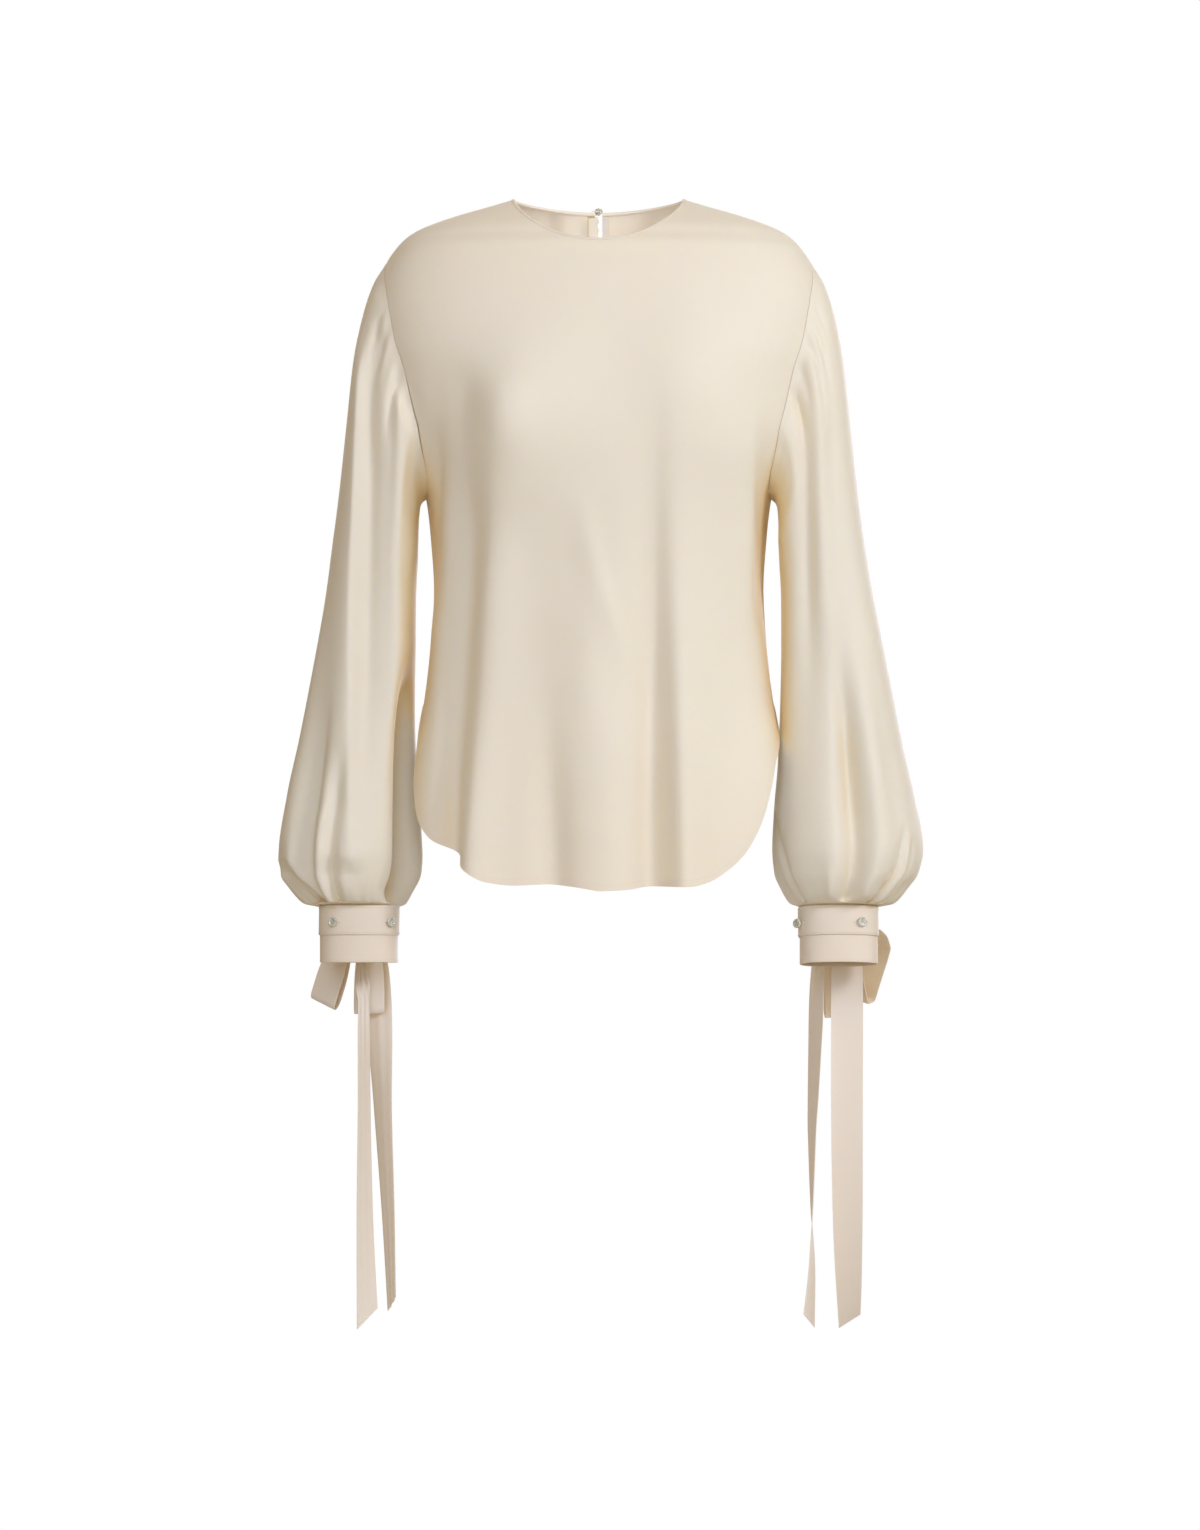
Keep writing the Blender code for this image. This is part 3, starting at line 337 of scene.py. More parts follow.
# On a sleeve, x is the angle round it (0 outermost, 90 front, 180 towards the body) and z the place along it,
# counted downwards.
SLEEVE_CREASES = {
    "right": table(
        CREASE_COLUMNS,
        (51, 0.02, 56, -0.1, 0, 3.4, 3, 1.3, -2.2, 1.8, 0.05, 0.6),
        (64, 0.02, 69, -0.15, 0, 3, 3.4, 1.3, -4, 1.6, 0.05, 0.7),
        (75, 0.02, 79, -0.09, 0, 3, 3, 1.3, -2, 1.8, 0.05, 0.6),
        (87, 0.02, 92, -0.16, 0, 3.4, 3, 1.3, -4, 1.6, 0.05, 0.7),
        (99, 0.02, 104, -0.08, 0, 3, 3, 1.3, -1.8, 1.8, 0.05, 0.6),
        (44, -0.06, 93, -0.92, 2, 24, 9, 1, 8.5, 1.5, 0.12, 0.05),
        (56, -0.01, 92, -0.8, 13, 12, 12, 0.9, -6.5, 2, 0.05, 0.3),
        (97, -0.01, 121, -0.82, 12, 13, 16, 0.9, 6.5, 2, 0.05, 0.3),
        (80, 0.03, 104, -0.3, 8, 7, 7, 1, -2.6, 1.8, 0.05, 0.7),
        (148, -0.15, 148, -0.66, 0, 24, 20, 1, 4, 2, 0.2, 0.3),
        (54, -0.6, 56, -0.985, 0, 18, 6, 1, -10, 2, 0.5, 0.04),
        (20, -0.45, 27, -0.97, 0, 26, 16, 1, 8, 2, 0.5, 0.1),
        (28, -0.885, 45, -0.985, 0, 20, 5, 1, -12, 2, 0.3, 0.04),
        (71, -0.76, 65, -0.985, 0, 6, 5, 1, 6, 2, 0.3, 0.04),
        (77, -0.68, 74, -0.985, 0, 6, 6, 1, -7.5, 2, 0.4, 0.04),
        (152, -0.46, 152, -1, 0, 22, 22, 1, -31, 2, 0.4, 0.1),
        (215, -0.1, 212, -0.9, 0, 16, 14, 1, -6, 2, 0.2, 0.2),
        (246, -0.05, 252, -0.92, 6, 15, 18, 1, 5, 2, 0.2, 0.1),
        (284, -0.02, 290, -0.9, -5, 12, 15, 1, -7, 1.8, 0.2, 0.2),
        (322, -0.12, 316, -0.86, 0, 14, 16, 1, 4, 2, 0.3, 0.2),
    ),
    "left": table(
        CREASE_COLUMNS,
        (47, 0.02, 51, -0.08, 0, 3.2, 3.2, 1.3, -3, 1.8, 0.05, 0.6),
        (58, 0.02, 63, -0.14, 0, 3, 3.4, 1.3, -4.6, 1.6, 0.05, 0.7),
        (70, 0.02, 76, -0.18, 0, 3.4, 3, 1.3, -5, 1.6, 0.05, 0.7),
        (83, 0.02, 87, -0.12, 0, 3, 3, 1.3, -3.8, 1.6, 0.05, 0.7),
        (96, 0.02, 101, -0.14, 0, 3.2, 3, 1.3, -4.2, 1.6, 0.05, 0.7),
        (94, -0, 118, -0.68, 6, 10, 10, 1, -5, 2, 0.05, 0.5),
        (72, -0, 98, -0.68, 6, 11, 10, 1, 5, 2, 0.05, 0.5),
        (101, -0.5, 104, -0.985, 0, 9, 22, 1, 7, 2, 0.5, 0.05),
        (84, -0.5, 91, -0.985, 0, 8, 8, 1, -12, 2, 0.5, 0.05),
        (69, -0.52, 74, -0.985, 0, 14, 9, 1, 9, 2, 0.5, 0.05),
        (47, -0.82, 58, -0.985, 0, 4, 5, 1, -7, 1.5, 0.3, 0.05),
        (38, -0.84, 38, -0.985, 0, 5, 4, 1, -7, 1.5, 0.3, 0.05),
        (146, -0.12, 146, -0.92, 0, 24, 24, 1, 6, 2, 0.1, 0.2),
        (170, -0.76, 141, -0.985, 0, 6, 5, 1, -6, 1.5, 0.3, 0.05),
        (218, -0.08, 210, -0.92, 4, 15, 16, 1, -5, 2, 0.2, 0.2),
        (254, -0.1, 248, -0.9, 0, 16, 14, 1, 5, 2, 0.3, 0.1),
        (288, -0.02, 282, -0.95, 6, 14, 12, 1, -6, 1.8, 0.2, 0.1),
        (326, -0.05, 322, -0.88, 0, 13, 15, 1, 4, 2, 0.2, 0.2),
    ),
}
BROAD_GATHERS = 8
BROAD_GATHER_DEPTH = 2.6
BROAD_GATHER_START = 0.76
FINE_GATHERS = 34
FINE_GATHER_SEEDS = {"left": 5, "right": 12}
FINE_GATHER_RANGES = {      # drawn in this order
    "drift": (-0.3, 0.3),
    "start": (0.78, 0.94),
    "depth": (0.9, 2.7),
    "width": (2.6, 4.2),
    "lean": (-6, 6),
}

# Each cuff's two buttons, the outer first: the turn from the cuff's front, how far it stands off on its
# thread, how much it leans to the front, and the turn of its holes
BUTTON_COLUMNS = "turn lift lean spin"
CUFF_BUTTONS = {
    "right": table(BUTTON_COLUMNS, (-50, 0.4, 0, 0.5), (33.5, 0.4, 0, 1)),
    "left": table(BUTTON_COLUMNS, (-73, 2.2, 34, 0.2), (29.5, 0.5, 8, 0.6)),
}
BUTTON_DOWN = BAND_TOP + BAND_HEIGHT / 2 + 1.8

TIE_ENDS = {
    "tie_end_outer_right": table(
        "z x y turn width",
        (-688, -229, 6.5, -50, 12),
        (-722, -229, 9, -40, 13),
        (-752, -227.5, 6, 50, 16),
        (-830, -226.8, 3, 68, 27),
        (-940, -226.3, 3, 62, 28),
        (-1067.5, -223.7, 4, 54, 31),
    ),
    "tie_end_inner_right": table(
        "z x y turn width",
        (-684, -223, 19, 0, 12),
        (-722, -215, 30, -6, 22),
        (-766, -213.5, 33, -16, 26),
        (-855, -210.2, 33, -46, 27),
        (-965, -204.5, 31, -58, 25),
        (-1057, -201.1, 30, -66, 22),
    ),
    "tie_end_outer_left": table(
        "z x y turn width",
        (-693.5, 233, 7, 0, 15),
        (-722, 240, 8, 0, 30),
        (-760, 240.2, 8, 3, 31),
        (-840, 240, 8, 10, 31),
        (-960, 240.8, 8, 26, 31),
        (-1070.5, 243, 9, 52, 31),
    ),
    "tie_end_inner_left": table(
        "z x y turn width",
        (-693.5, 221, 9, 50, 9),
        (-722, 212, 10, 60, 22),
        (-780, 210, 10, 68, 31),
        (-842, 207.8, 10, 74, 31),
        (-880, 206.5, 10, 79, 31),
        (-950, 206.3, 10, 89, 31),
        (-1004, 206.6, 10, 102, 31),
        (-1070.5, 203.8, 10, 113, 31),
    ),
}
LOOP_COLUMNS = "lean back turn start length".split()
BOW_LOOPS = {
    "bow_loop_outer_right": ("hanging", (18.5, 13, -25, 10, 88)),
    "bow_loop_inner_right": ("hanging", (0, 8, 8, -8, 91)),
    "bow_loop_outer_left": ("open", (16, 24, 58, 4, 86)),
    "bow_loop_inner_left": ("hanging", (3, 10, -8, -1.4, 90)),
}
LOOP_SHAPES = {
    "hanging": table(
        "step down off width",
        (0, 0.175, -1.2, 0.4),
        (1, 0.42, -3.5, 0.82),
        (2, 0.7, -4, 0.94),
        (3, 0.93, -3.4, 0.94),
        (4, 1, 0.6, 0.94),
        (5, 0.93, 5, 0.94),
        (6, 0.7, 6, 0.9),
        (7, 0.42, 5, 0.75),
        (8, 0.175, 3.2, 0.4),
    ),
    "open": table(
        "step down off width",
        (0, 0.02, 14, 0.55),
        (1, 0.13, 27, 0.8),
        (2, 0.25, 35.5, 0.95),
        (3, 0.36, 39, 1),
        (4, 0.47, 39.5, 1),
        (5, 0.57, 34.5, 1),
        (6, 0.7, 25, 1),
        (7, 0.84, 14.5, 1),
        (8, 0.97, 4, 1),
        (9, 0.96, -3, 0.95),
        (10, 0.7, 0, 0.8),
        (11, 0.35, 8, 0.45),
    ),
}
# The cloth built here differs in places from its rough flat sizes: the ribbon in a loop is 149 to 166 long,
# the back about 510 wide, the neckline 490 long, and the slit's strips 6 and 9 wide.
LOOP_STEPS = 96
LOOP_ACROSS = 14
TIE_STEPS = 150
TIE_ACROSS = 12
PRESSED_EDGE = 0.47         # where a strip's pressed edge begins, of its width
BUNCH_DEPTH = 1.6


def smoothstep(low, high, value):
    t = np.clip((value - low) / (high - low), 0.0, 1.0)
    return t * t * (3 - 2 * t)


def crease_push(creases, x, z, turn=None):
    """How far the creases move the cloth out at places (x, z). With a turn, x comes round again after it."""
    push = np.zeros(np.broadcast(x, z).shape)
    for c in rows_of(creases):
        along = np.clip((c["z_top"] - z) / (c["z_top"] - c["z_bottom"]), 0.0, 1.0)
        apart = x - (c["x_top"] + (c["x_bottom"] - c["x_top"]) * along + c["bow"] * 4 * along * (1 - along))
        if turn:
            apart = (apart + turn / 2) % turn - turn / 2
        width = np.where(apart < 0, c["left"], c["right"]) * (1 + (c["spread"] - 1) * along)
        present = smoothstep(0, c["rise"], along)
        if c["fall"] > 0:
            present = present * (1 - smoothstep(1 - c["fall"], 1, along))
        push += c["out"] * present * np.exp(-((np.abs(apart) / width) ** c["sharp"]))
    return push


def mound_push(panel, x, z):
    """How far the mounds of the front move its cloth out."""
    push = 0.0
    for m in rows_of(FRONT_MOUNDS) if panel == "front" else ():
        rise = np.where(z > m["z"], (z - m["z"]) / m["up"], (m["z"] - z) / m["down"])
        push = push + m["out"] * np.exp(-(((x - m["x"]) / m["across"]) ** 2) - rise ** 2)
    return push


# Materials


def give(node, **values):
    """Sets a node's inputs. Their names are written with _ for a space."""
    for name, value in values.items():
        node.inputs[name.replace("_", " ")].default_value = value
    return node


def add(tree, kind, source=None, target="Vector", **values):
    """A new node with some inputs set and one fed from another node's output."""
    node = give(tree.nodes.new("ShaderNode" + kind), **values)
    if source:
        tree.links.new(source, node.inputs[target])
    return node


def ramp(tree, source, low, high):
    """The colours between two (position, colour) stops."""
    made = add(tree, "ValToRGB", source, "Fac")
    for stop, (position, colour) in zip(made.color_ramp.elements, (low, high)):
        stop.position, stop.color = position, (*colour, 1)
    return made.outputs["Color"]


def new_material(name, **values):
    made = bpy.data.materials.new(name)
    made.use_nodes = True
    return made, made.node_tree, give(made.node_tree.nodes["Principled BSDF"], **values)


def silk(name, colour, dark, roughness, glow, warm):
    """Silk crepe: a pebbled grain of twisted yarns, a faint unevenness of the dye and a soft sheen. Where
    other cloth is near, its colour is painted darker and warmer: painted shade for the light that bounces
    between the layers."""
    made, tree, shader = new_material(
        name,
        Roughness=roughness,
        Specular_IOR_Level=0.3,
        Subsurface_Weight=glow,
        Subsurface_Radius=(2.1, 1.6, 1),
        Subsurface_Scale=0.001,
        Sheen_Weight=0.18,
        Sheen_Roughness=0.45,
        Sheen_Tint=(1, 0.93, 0.84, 1),
    )
    join_nodes = tree.links.new
    place = add(tree, "TexCoord").outputs
    yarns = add(tree, "Mapping", place["UV"], Scale=(1, 0.45, 1)).outputs["Vector"]
    grain = add(tree, "TexNoise", yarns, Scale=1500, Detail=2).outputs["Fac"]
    dye = add(tree, "TexNoise", place["Object"], Scale=9, Detail=3).outputs["Fac"]
    both = add(tree, "Mix", dye, 2, Factor=0.35)
    join_nodes(grain, both.inputs[3])
    dyed = ramp(tree, both.outputs[0], (0.3, dark), (0.7, colour))
    # Painted shade: where other cloth is near, the ambient occlusion multiplies the colour by the warm tint,
    # making it darker and warmer.
    nearby = add(tree, "AmbientOcclusion", Distance=0.11)
    nearby.samples = 8
    painted_shade = add(tree, "Mix")
    painted_shade.data_type, painted_shade.blend_type = "RGBA", "MULTIPLY"
    painted_shade.inputs[7].default_value = (*warm, 1)
    join_nodes(ramp(tree, nearby.outputs["AO"], (0.25, (1, 1, 1)), (0.72, (0, 0, 0))), painted_shade.inputs[0])
    join_nodes(dyed, painted_shade.inputs[6])
    join_nodes(painted_shade.outputs[2], shader.inputs["Base Color"])
    bump = add(tree, "Bump", grain, "Height", Strength=0.12, Distance=0.0002)
    join_nodes(bump.outputs["Normal"], shader.inputs["Normal"])
    return made


def pearl(name):
    """Mother of pearl: glossy, with soft clouds that run from cream to a dark grey green."""
    made, tree, shader = new_material(name, Roughness=0.16, Coat_Weight=0.6, Coat_Roughness=0.06)
    place = add(tree, "TexCoord").outputs["Object"]
    clouds = add(tree, "TexNoise", place, Scale=420, Detail=2, Distortion=1.5).outputs["Fac"]
    shades = ramp(tree, clouds, (0.35, (0.34, 0.37, 0.27)), (0.65, (0.82, 0.81, 0.71)))
    tree.links.new(shades, shader.inputs["Base Color"])
    return made


def plain(name, colour, roughness):
    return new_material(name, Base_Color=(*colour, 1), Roughness=roughness)[0]


# The last colour of each silk is its painted shade tint, for where other cloth is near.
SILK = silk("ivory silk crepe", (0.86, 0.79, 0.64), (0.835, 0.763, 0.61), 0.58, 0.5, (0.95, 0.82, 0.55))
# The cuffs and ties are the same silk as the rest. Their colour is set a little darker on the cuffs and a
# little paler on the ties: painted shade and painted light for how brightly each part is lit.
CUFF_SILK = silk("ivory silk of cuffs", (0.84, 0.755, 0.615), (0.815, 0.73, 0.585), 0.55, 0.2, (1, 0.92, 0.8))
TIE_SILK = silk("ivory silk of ties", (0.865, 0.79, 0.67), (0.84, 0.765, 0.645), 0.55, 0.2, (1, 0.94, 0.84))
THREAD_SILK = plain("silk thread", (0.80, 0.71, 0.56), 0.5)
PEARL = pearl("pearl")
# Painted shade: a near-black plug stands in each button hole for the shade inside an open hole.
HOLE_PAINTED_SHADE = plain("painted shade in button holes", (0.10, 0.09, 0.07), 0.6)
FLOOR = plain("pale floor", (0.86, 0.86, 0.85), 0.8)


# Meshes


def make_mesh(name, points, faces, material, uv=None, smooth_angle=60.0):
    """A closed mesh that faces out. uv gives each point's place on the cloth, in metres."""
    mesh = bpy.data.meshes.new(name)
    mesh.from_pydata((np.asarray(points, float) * MM).tolist(), [], [tuple(map(int, face)) for face in faces])
    shape = bmesh.new()
    shape.from_mesh(mesh)
    bmesh.ops.recalc_face_normals(shape, faces=shape.faces)
    shape.to_mesh(mesh)
    shape.free()
    if uv is None:
        uv = np.asarray(points, float)[:, [0, 2]] * MM
    layer = mesh.uv_layers.new(name="cloth")
    corners = np.empty(len(mesh.loops), int)
    mesh.loops.foreach_get("vertex_index", corners)
    layer.data.foreach_set("uv", np.asarray(uv, float)[corners].astype(np.float32).ravel())
    mesh.materials.append(material)
    mesh.shade_smooth()
    mesh.set_sharp_from_angle(angle=math.radians(smooth_angle))
    made = bpy.data.objects.new(name, mesh)
    bpy.context.scene.collection.objects.link(made)
    return made


def grid_normals(grid, closed=False):
    """Unit normals of a grid of points: rows run down it, columns across."""
    down = np.gradient(grid, axis=0)
    across = np.gradient(grid, axis=1)
    if closed:
        across = (np.roll(grid, -1, axis=1) - np.roll(grid, 1, axis=1)) / 2
    normals = np.cross(down, across)
    return normals / np.maximum(np.linalg.norm(normals, axis=2, keepdims=True), 1e-9)


def grid_index(rows, columns):
    return np.arange(rows * columns).reshape(rows, columns)


def grid_faces(index, closed=False):
    """Quads of a grid of point numbers. A closed one comes round to its first column."""
    if closed:
        index = np.concatenate([index, index[:, :1]], axis=1)
    return np.stack([index[:-1, :-1], index[1:, :-1], index[1:, 1:], index[:-1, 1:]], axis=-1).reshape(-1, 4)


def tube_faces(index):
    """Faces round a tube of point numbers, and a cap on each end."""
    return [*grid_faces(index, closed=True), index[0], index[-1][::-1]]


def grid_uv(grid):
    """Each point's place on the flat cloth, in metres, from the mean steps between rows and columns."""
    across = np.linalg.norm(np.diff(grid, axis=1), axis=2).mean(axis=0)
    down = np.linalg.norm(np.diff(grid, axis=0), axis=2).mean(axis=1)
    u = np.concatenate([[0], np.cumsum(across)])
    v = np.concatenate([[0], np.cumsum(down)])
    return np.stack(np.broadcast_arrays(u[None, :], -v[:, None]), axis=-1).reshape(-1, 2) * MM


def wall(name, points, normals, faces, thickness, material, uv):
    """A thin closed wall: outer points, the same points one thickness behind them, and the rims between."""
    count = len(points)
    inner = points - normals * np.reshape(np.broadcast_to(thickness, count), (-1, 1))
    starts, ends = faces, np.roll(faces, -1, axis=1)
    ahead, back = (starts * count + ends).ravel(), (ends * count + starts).ravel()
    rim = ~np.isin(ahead, back)
    a, b = starts.ravel()[rim], ends.ravel()[rim]
    rims = np.stack([b, a, a + count, b + count], axis=1)
    solid = np.concatenate([faces, faces[:, ::-1] + count, rims])
    return make_mesh(name, np.concatenate([points, inner]), solid, material, np.concatenate([uv, uv]))


def grid_wall(name, grid, normals, thickness, material, closed=False):
    """A thin closed wall whose outer face is a grid of points."""
    faces = grid_faces(grid_index(*grid.shape[:2]), closed)
    points, normals = grid.reshape(-1, 3), normals.reshape(-1, 3)
    return wall(name, points, normals, faces, np.ravel(thickness), material, grid_uv(grid))


def oval(angle):
    """Sine and cosine of a rounded oblong."""
    s, c = np.sin(angle), np.cos(angle)
    return s * (1 + SQUARENESS * c * c), c * (1 + SQUARENESS * s * s)


def oval_angle(value):
    """The angle up to a right angle at which the rounded oblong's sine is the value."""
    low = np.zeros_like(value, dtype=float)
    high = np.full_like(low, math.pi / 2)
    for _ in range(30):
        middle = (low + high) / 2
        below = oval(middle)[0] < value
        low, high = np.where(below, middle, low), np.where(below, high, middle)
    return (low + high) / 2


# Front and back


def body_points(angle, z, panel):
    """Points of the body's tube. Angle 0 is the middle of the panel, a right angle the wearer's left side."""
    s, c = oval(angle)
    half, depth = read(BODY, panel + "_half", z), read(BODY, panel + "_depth", z)
    forward = FORWARD[panel]
    x, y = half * s, forward * depth * c
    out = unit(xyz(depth * np.sin(angle), forward * half * np.cos(angle), 0))
    creases = FRONT_CREASES if panel == "front" else BACK_CREASES
    facing = np.abs(np.cos(angle)) ** 0.5
    push = (crease_push(creases, x, z) + mound_push(panel, x, z)) * facing
    return xyz(x, y, z) + out * push[..., None]


def neckline(share, panel):
    """The angle and the height of the neck edge at a share of a panel's width."""
    turn = share * math.pi / 2
    drop, power = NECK_CURVE[panel]
    z = NECK_POINT_Z - drop * np.maximum(np.cos(turn), 0.0) ** power
    angle = oval_angle(np.abs(NECK_HALF_WIDTH * np.sin(turn)) / read(BODY, panel + "_half", z))
    return np.copysign(angle, share), z


def panel_points(share, down, panel):
    """Points of a panel: share -1 to 1 from the wearer's right side to the left, down 0 to 3 to the hem."""
    share, down = np.broadcast_arrays(np.asarray(share, float), np.asarray(down, float))
    level = share * math.pi / 2
    yoke = SHOULDER_POINT_Z - YOKE_LINE_DROP * np.maximum(np.cos(level), 0.0) ** YOKE_LINE_ROUND
    neck_angle, neck_z = neckline(share, panel)
    angle_1 = neck_angle + (level - neck_angle) * np.clip(down, 0, 1)
    z_1 = neck_z + (yoke - neck_z) * np.clip(down, 0, 1)
    middle, half = (SHOULDER_POINT_Z + UNDERARM_Z) / 2, (SHOULDER_POINT_Z - UNDERARM_Z) / 2
    edge_z = middle + half * np.cos(math.pi * np.clip(down - 1, 0, 1))
    fall = (SHOULDER_POINT_Z - edge_z) / (SHOULDER_POINT_Z - UNDERARM_Z)
    reach = oval_angle(read(ARMHOLE, panel + "_y", edge_z) / read(BODY, panel + "_depth", edge_z))
    angle_2 = level - np.copysign(reach * np.abs(share) ** ARMHOLE_PULL, share)
    z_2 = edge_z + (yoke - SHOULDER_POINT_Z) * (1 - fall)
    hem = np.where(share > 0, read(HEM, "left", np.abs(share)), read(HEM, "right", np.abs(share)))
    if panel == "back":
        hem = read(HEM, "left", np.abs(share)) + BACK_HEM_RISE * (1 - np.abs(share))
    z_3 = UNDERARM_Z + (hem - UNDERARM_Z) * np.clip(down - 2, 0, 1)
    angle = np.where(down <= 1, angle_1, np.where(down <= 2, angle_2, level))
    z = np.where(down <= 1, z_1, np.where(down <= 2, z_2, z_3))
    return body_points(angle, z, panel)


def neck_reach(share, panel, depth):
    """The place down a panel that lies a distance below the neckline."""
    top, lower = panel_points(share, 0.0, panel), panel_points(share, 0.2, panel)
    return 0.2 * depth / np.linalg.norm(lower - top, axis=-1)


def panel_grid(panel, columns):
    """Outer points and normals of a panel, and how much of the hem's thickness each point has."""
    shares = np.linspace(-1, 1, columns + 1)
    start = neck_reach(shares, panel, BINDING_HEIGHT * 0.5)
    upper = np.linspace(0.0, 1.0, NECK_STEPS, endpoint=False)[:, None]
    downs = np.concatenate(
        [
            start + (1 - start) * upper,
            np.tile(1 + np.linspace(0.0, 1.0, ARMHOLE_STEPS, endpoint=False)[:, None], (1, columns + 1)),
            np.tile(2 + np.linspace(0.0, 1.0, LOWER_STEPS + 1)[:, None] ** 0.9, (1, columns + 1)),
        ]
    )
    grid = panel_points(shares[None, :], downs, panel)
    normals = grid_normals(grid) * -FORWARD[panel]
    from_edge = np.linalg.norm(grid - grid[-1:], axis=2)
    hem = (1 - smoothstep(HEM_DEPTH - HEM_FADE[0], HEM_DEPTH + HEM_FADE[1], from_edge)) * (downs > 2)
    grid = grid + normals * (HEM_PROUD * hem)[..., None]
    return grid, normals, hem


def with_turned_edges(grid, normals, extra):
    """The grid with its two side columns turned to the inside, as the sewn edges of a seam."""
    def columns(edge):
        return [grid[:, edge] - normals[:, edge] * depth for depth in SEAM_TURN]

    first, last = columns(0)[::-1], columns(-1)
    grid = np.concatenate([np.stack(first, 1), grid, np.stack(last, 1)], axis=1)
    count = len(SEAM_TURN)
    return (
        grid,
        np.pad(normals, ((0, 0), (count, count), (0, 0)), mode="edge"),
        np.pad(extra, ((0, 0), (count, count)), mode="edge"),
    )


def make_front():
    grid, normals, hem = with_turned_edges(*panel_grid("front", FRONT_COLUMNS))
    return grid_wall("blouse_front", grid, normals, CLOTH + HEM_THICKER * hem, SILK)


def slit_half_width(z, top, bottom):
    """Half the slit's width at a height: straight, with a round end."""
    return SLIT_WIDTH / 2 * np.sqrt(np.maximum(1 - (np.clip(top - z, 0, None) / (top - bottom)) ** 4, 0.0))


def slit_ends():
    """The heights of the slit's top and bottom."""
    top = panel_points(0.0, 0.0, "back")[2]
    return top, panel_points(0.0, SLIT_END, "back")[2]


def make_back():
    """The back panel. Its middle column is parted from the neckline down to the slit's end."""
    grid, normals, hem = panel_grid("back", BACK_COLUMNS)
    top, bottom = slit_ends()
    way = slit_half_width(grid[..., 2], top, bottom) * np.clip(1 - np.abs(grid[..., 0]) / SLIT_SPREAD, 0, 1)
    middle = BACK_COLUMNS // 2
    way[:, middle] = 0
    grid[..., 0] += way * np.sign(grid[..., 0])
    parted = np.flatnonzero(grid[:, middle, 2] > bottom + 0.2)
    grid, normals, hem = with_turned_edges(grid, normals, hem)
    middle += len(SEAM_TURN)
    index = grid_index(*hem.shape)
    other = index.copy()
    other[parted, middle] = hem.size + np.arange(len(parted))
    half = slit_half_width(grid[parted, middle, 2], top, bottom)
    left_edge = grid[parted, middle] + xyz(half, 0, 0)
    grid[parted, middle, 0] -= half
    uv = grid_uv(grid).reshape(*hem.shape, 2)
    points = np.concatenate([grid.reshape(-1, 3), left_edge])
    directions = np.concatenate([normals.reshape(-1, 3), normals[parted, middle]])
    thickness = CLOTH + HEM_THICKER * np.concatenate([hem.ravel(), np.zeros(len(parted))])
    uv = np.concatenate([uv.reshape(-1, 2), uv[parted, middle]])
    faces = np.concatenate([grid_faces(index[:, : middle + 1]), grid_faces(other[:, middle:])])
    return wall("blouse_back", points, directions, faces, thickness, SILK, uv)


# Sweeps and small turned pieces


def sweep(name, places, outs, downs, profile, material, closed=False):
    """A closed body from a closed profile of (out, down) offsets carried along a path of places."""
    profile = np.asarray(profile, float)
    points = (
        places[:, None, :]
        + outs[:, None, :] * profile[None, :, :1]
        + downs[:, None, :] * profile[None, :, 1:]
    )
    index = grid_index(*points.shape[:2])
    faces = grid_faces(np.concatenate([index, index[:1]]), closed=True) if closed else tube_faces(index)
    return make_mesh(name, points.reshape(-1, 3), faces, material)


def frames_along(path, towards):
    """Two unit directions square to a path at each of its points, the first as near as may be to towards."""
    ahead = unit(np.gradient(path, axis=0))
    out = unit(towards - ahead * np.sum(towards * ahead, axis=1, keepdims=True))
    return out, np.cross(ahead, out)


def circle(radius, sides):
    angles = turns(sides)
    return np.stack([radius * np.cos(angles), radius * np.sin(angles)], axis=1)


def cord(name, path, towards, radius, material, sides=10, closed=False):
    out, side = frames_along(path, np.broadcast_to(towards, path.shape))
    return sweep(name, path, out, side, circle(radius, sides), material, closed)


def join(name, parts):
    """One object from several, which it replaces."""
    with bpy.context.temp_override(active_object=parts[0], selected_editable_objects=parts):
        bpy.ops.object.join()
    parts[0].name = name
    parts[0].data.name = name
    return parts[0]


def between(at, keys, points):
    """The point at a place along keyed points."""
    return np.array([np.interp(at, keys, points[:, k]) for k in range(3)])


def stitches(name, path, outs, length, gap):
    """A row of short raised stitches along a path on cloth that faces out."""
    travelled = np.concatenate([[0], np.cumsum(np.linalg.norm(np.diff(path, axis=0), axis=1))])
    points, faces = [], []
    for start in np.arange(gap / 2, travelled[-1] - length, length + gap):
        first = len(points)
        for along, rise in STITCH_SHAPE:
            at = start + along * length
            place, out = between(at, travelled, path), between(at, travelled, outs)
            ahead = between(at + 0.2, travelled, path) - place
            ahead /= max(np.linalg.norm(ahead), 1e-9)
            side = np.cross(ahead, out)
            centre = place + out * (STITCH_LIFT + THREAD * rise * 0.8)
            thick = THREAD * (0.55 + 0.45 * max(rise, 0))
            points += [centre + out * a + side * b for a, b in circle(thick, STITCH_SIDES)]
        faces += tube_faces(first + grid_index(len(STITCH_SHAPE), STITCH_SIDES))
    return make_mesh(name, points, faces, THREAD_SILK)


def lathe(name, profile, centre, axis, material, sides=40, smooth_angle=60.0):
    """A round piece from (distance along the axis, radius) pairs, whose first and last radius are 0."""
    axis = unit(axis)
    side = unit(np.cross(axis, [0.0, 0.3, 1.0]))
    other = np.cross(axis, side)
    points, faces, rings = [], [], []
    for along, radius in profile:
        turns = circle(radius, sides) if radius > 0 else [(0.0, 0.0)]
        rings.append(list(range(len(points), len(points) + len(turns))))
        for a, b in turns:
            points.append(centre + axis * along + side * a + other * b)
    for low, high in zip(rings, rings[1:]):
        for k in range(sides):
            n = k + 1
            corners = (low[k % len(low)], low[n % len(low)], high[n % len(high)], high[k % len(high)])
            faces.append(tuple(dict.fromkeys(corners)))
    return make_mesh(name, points, faces, material, smooth_angle=smooth_angle)


# Neckline


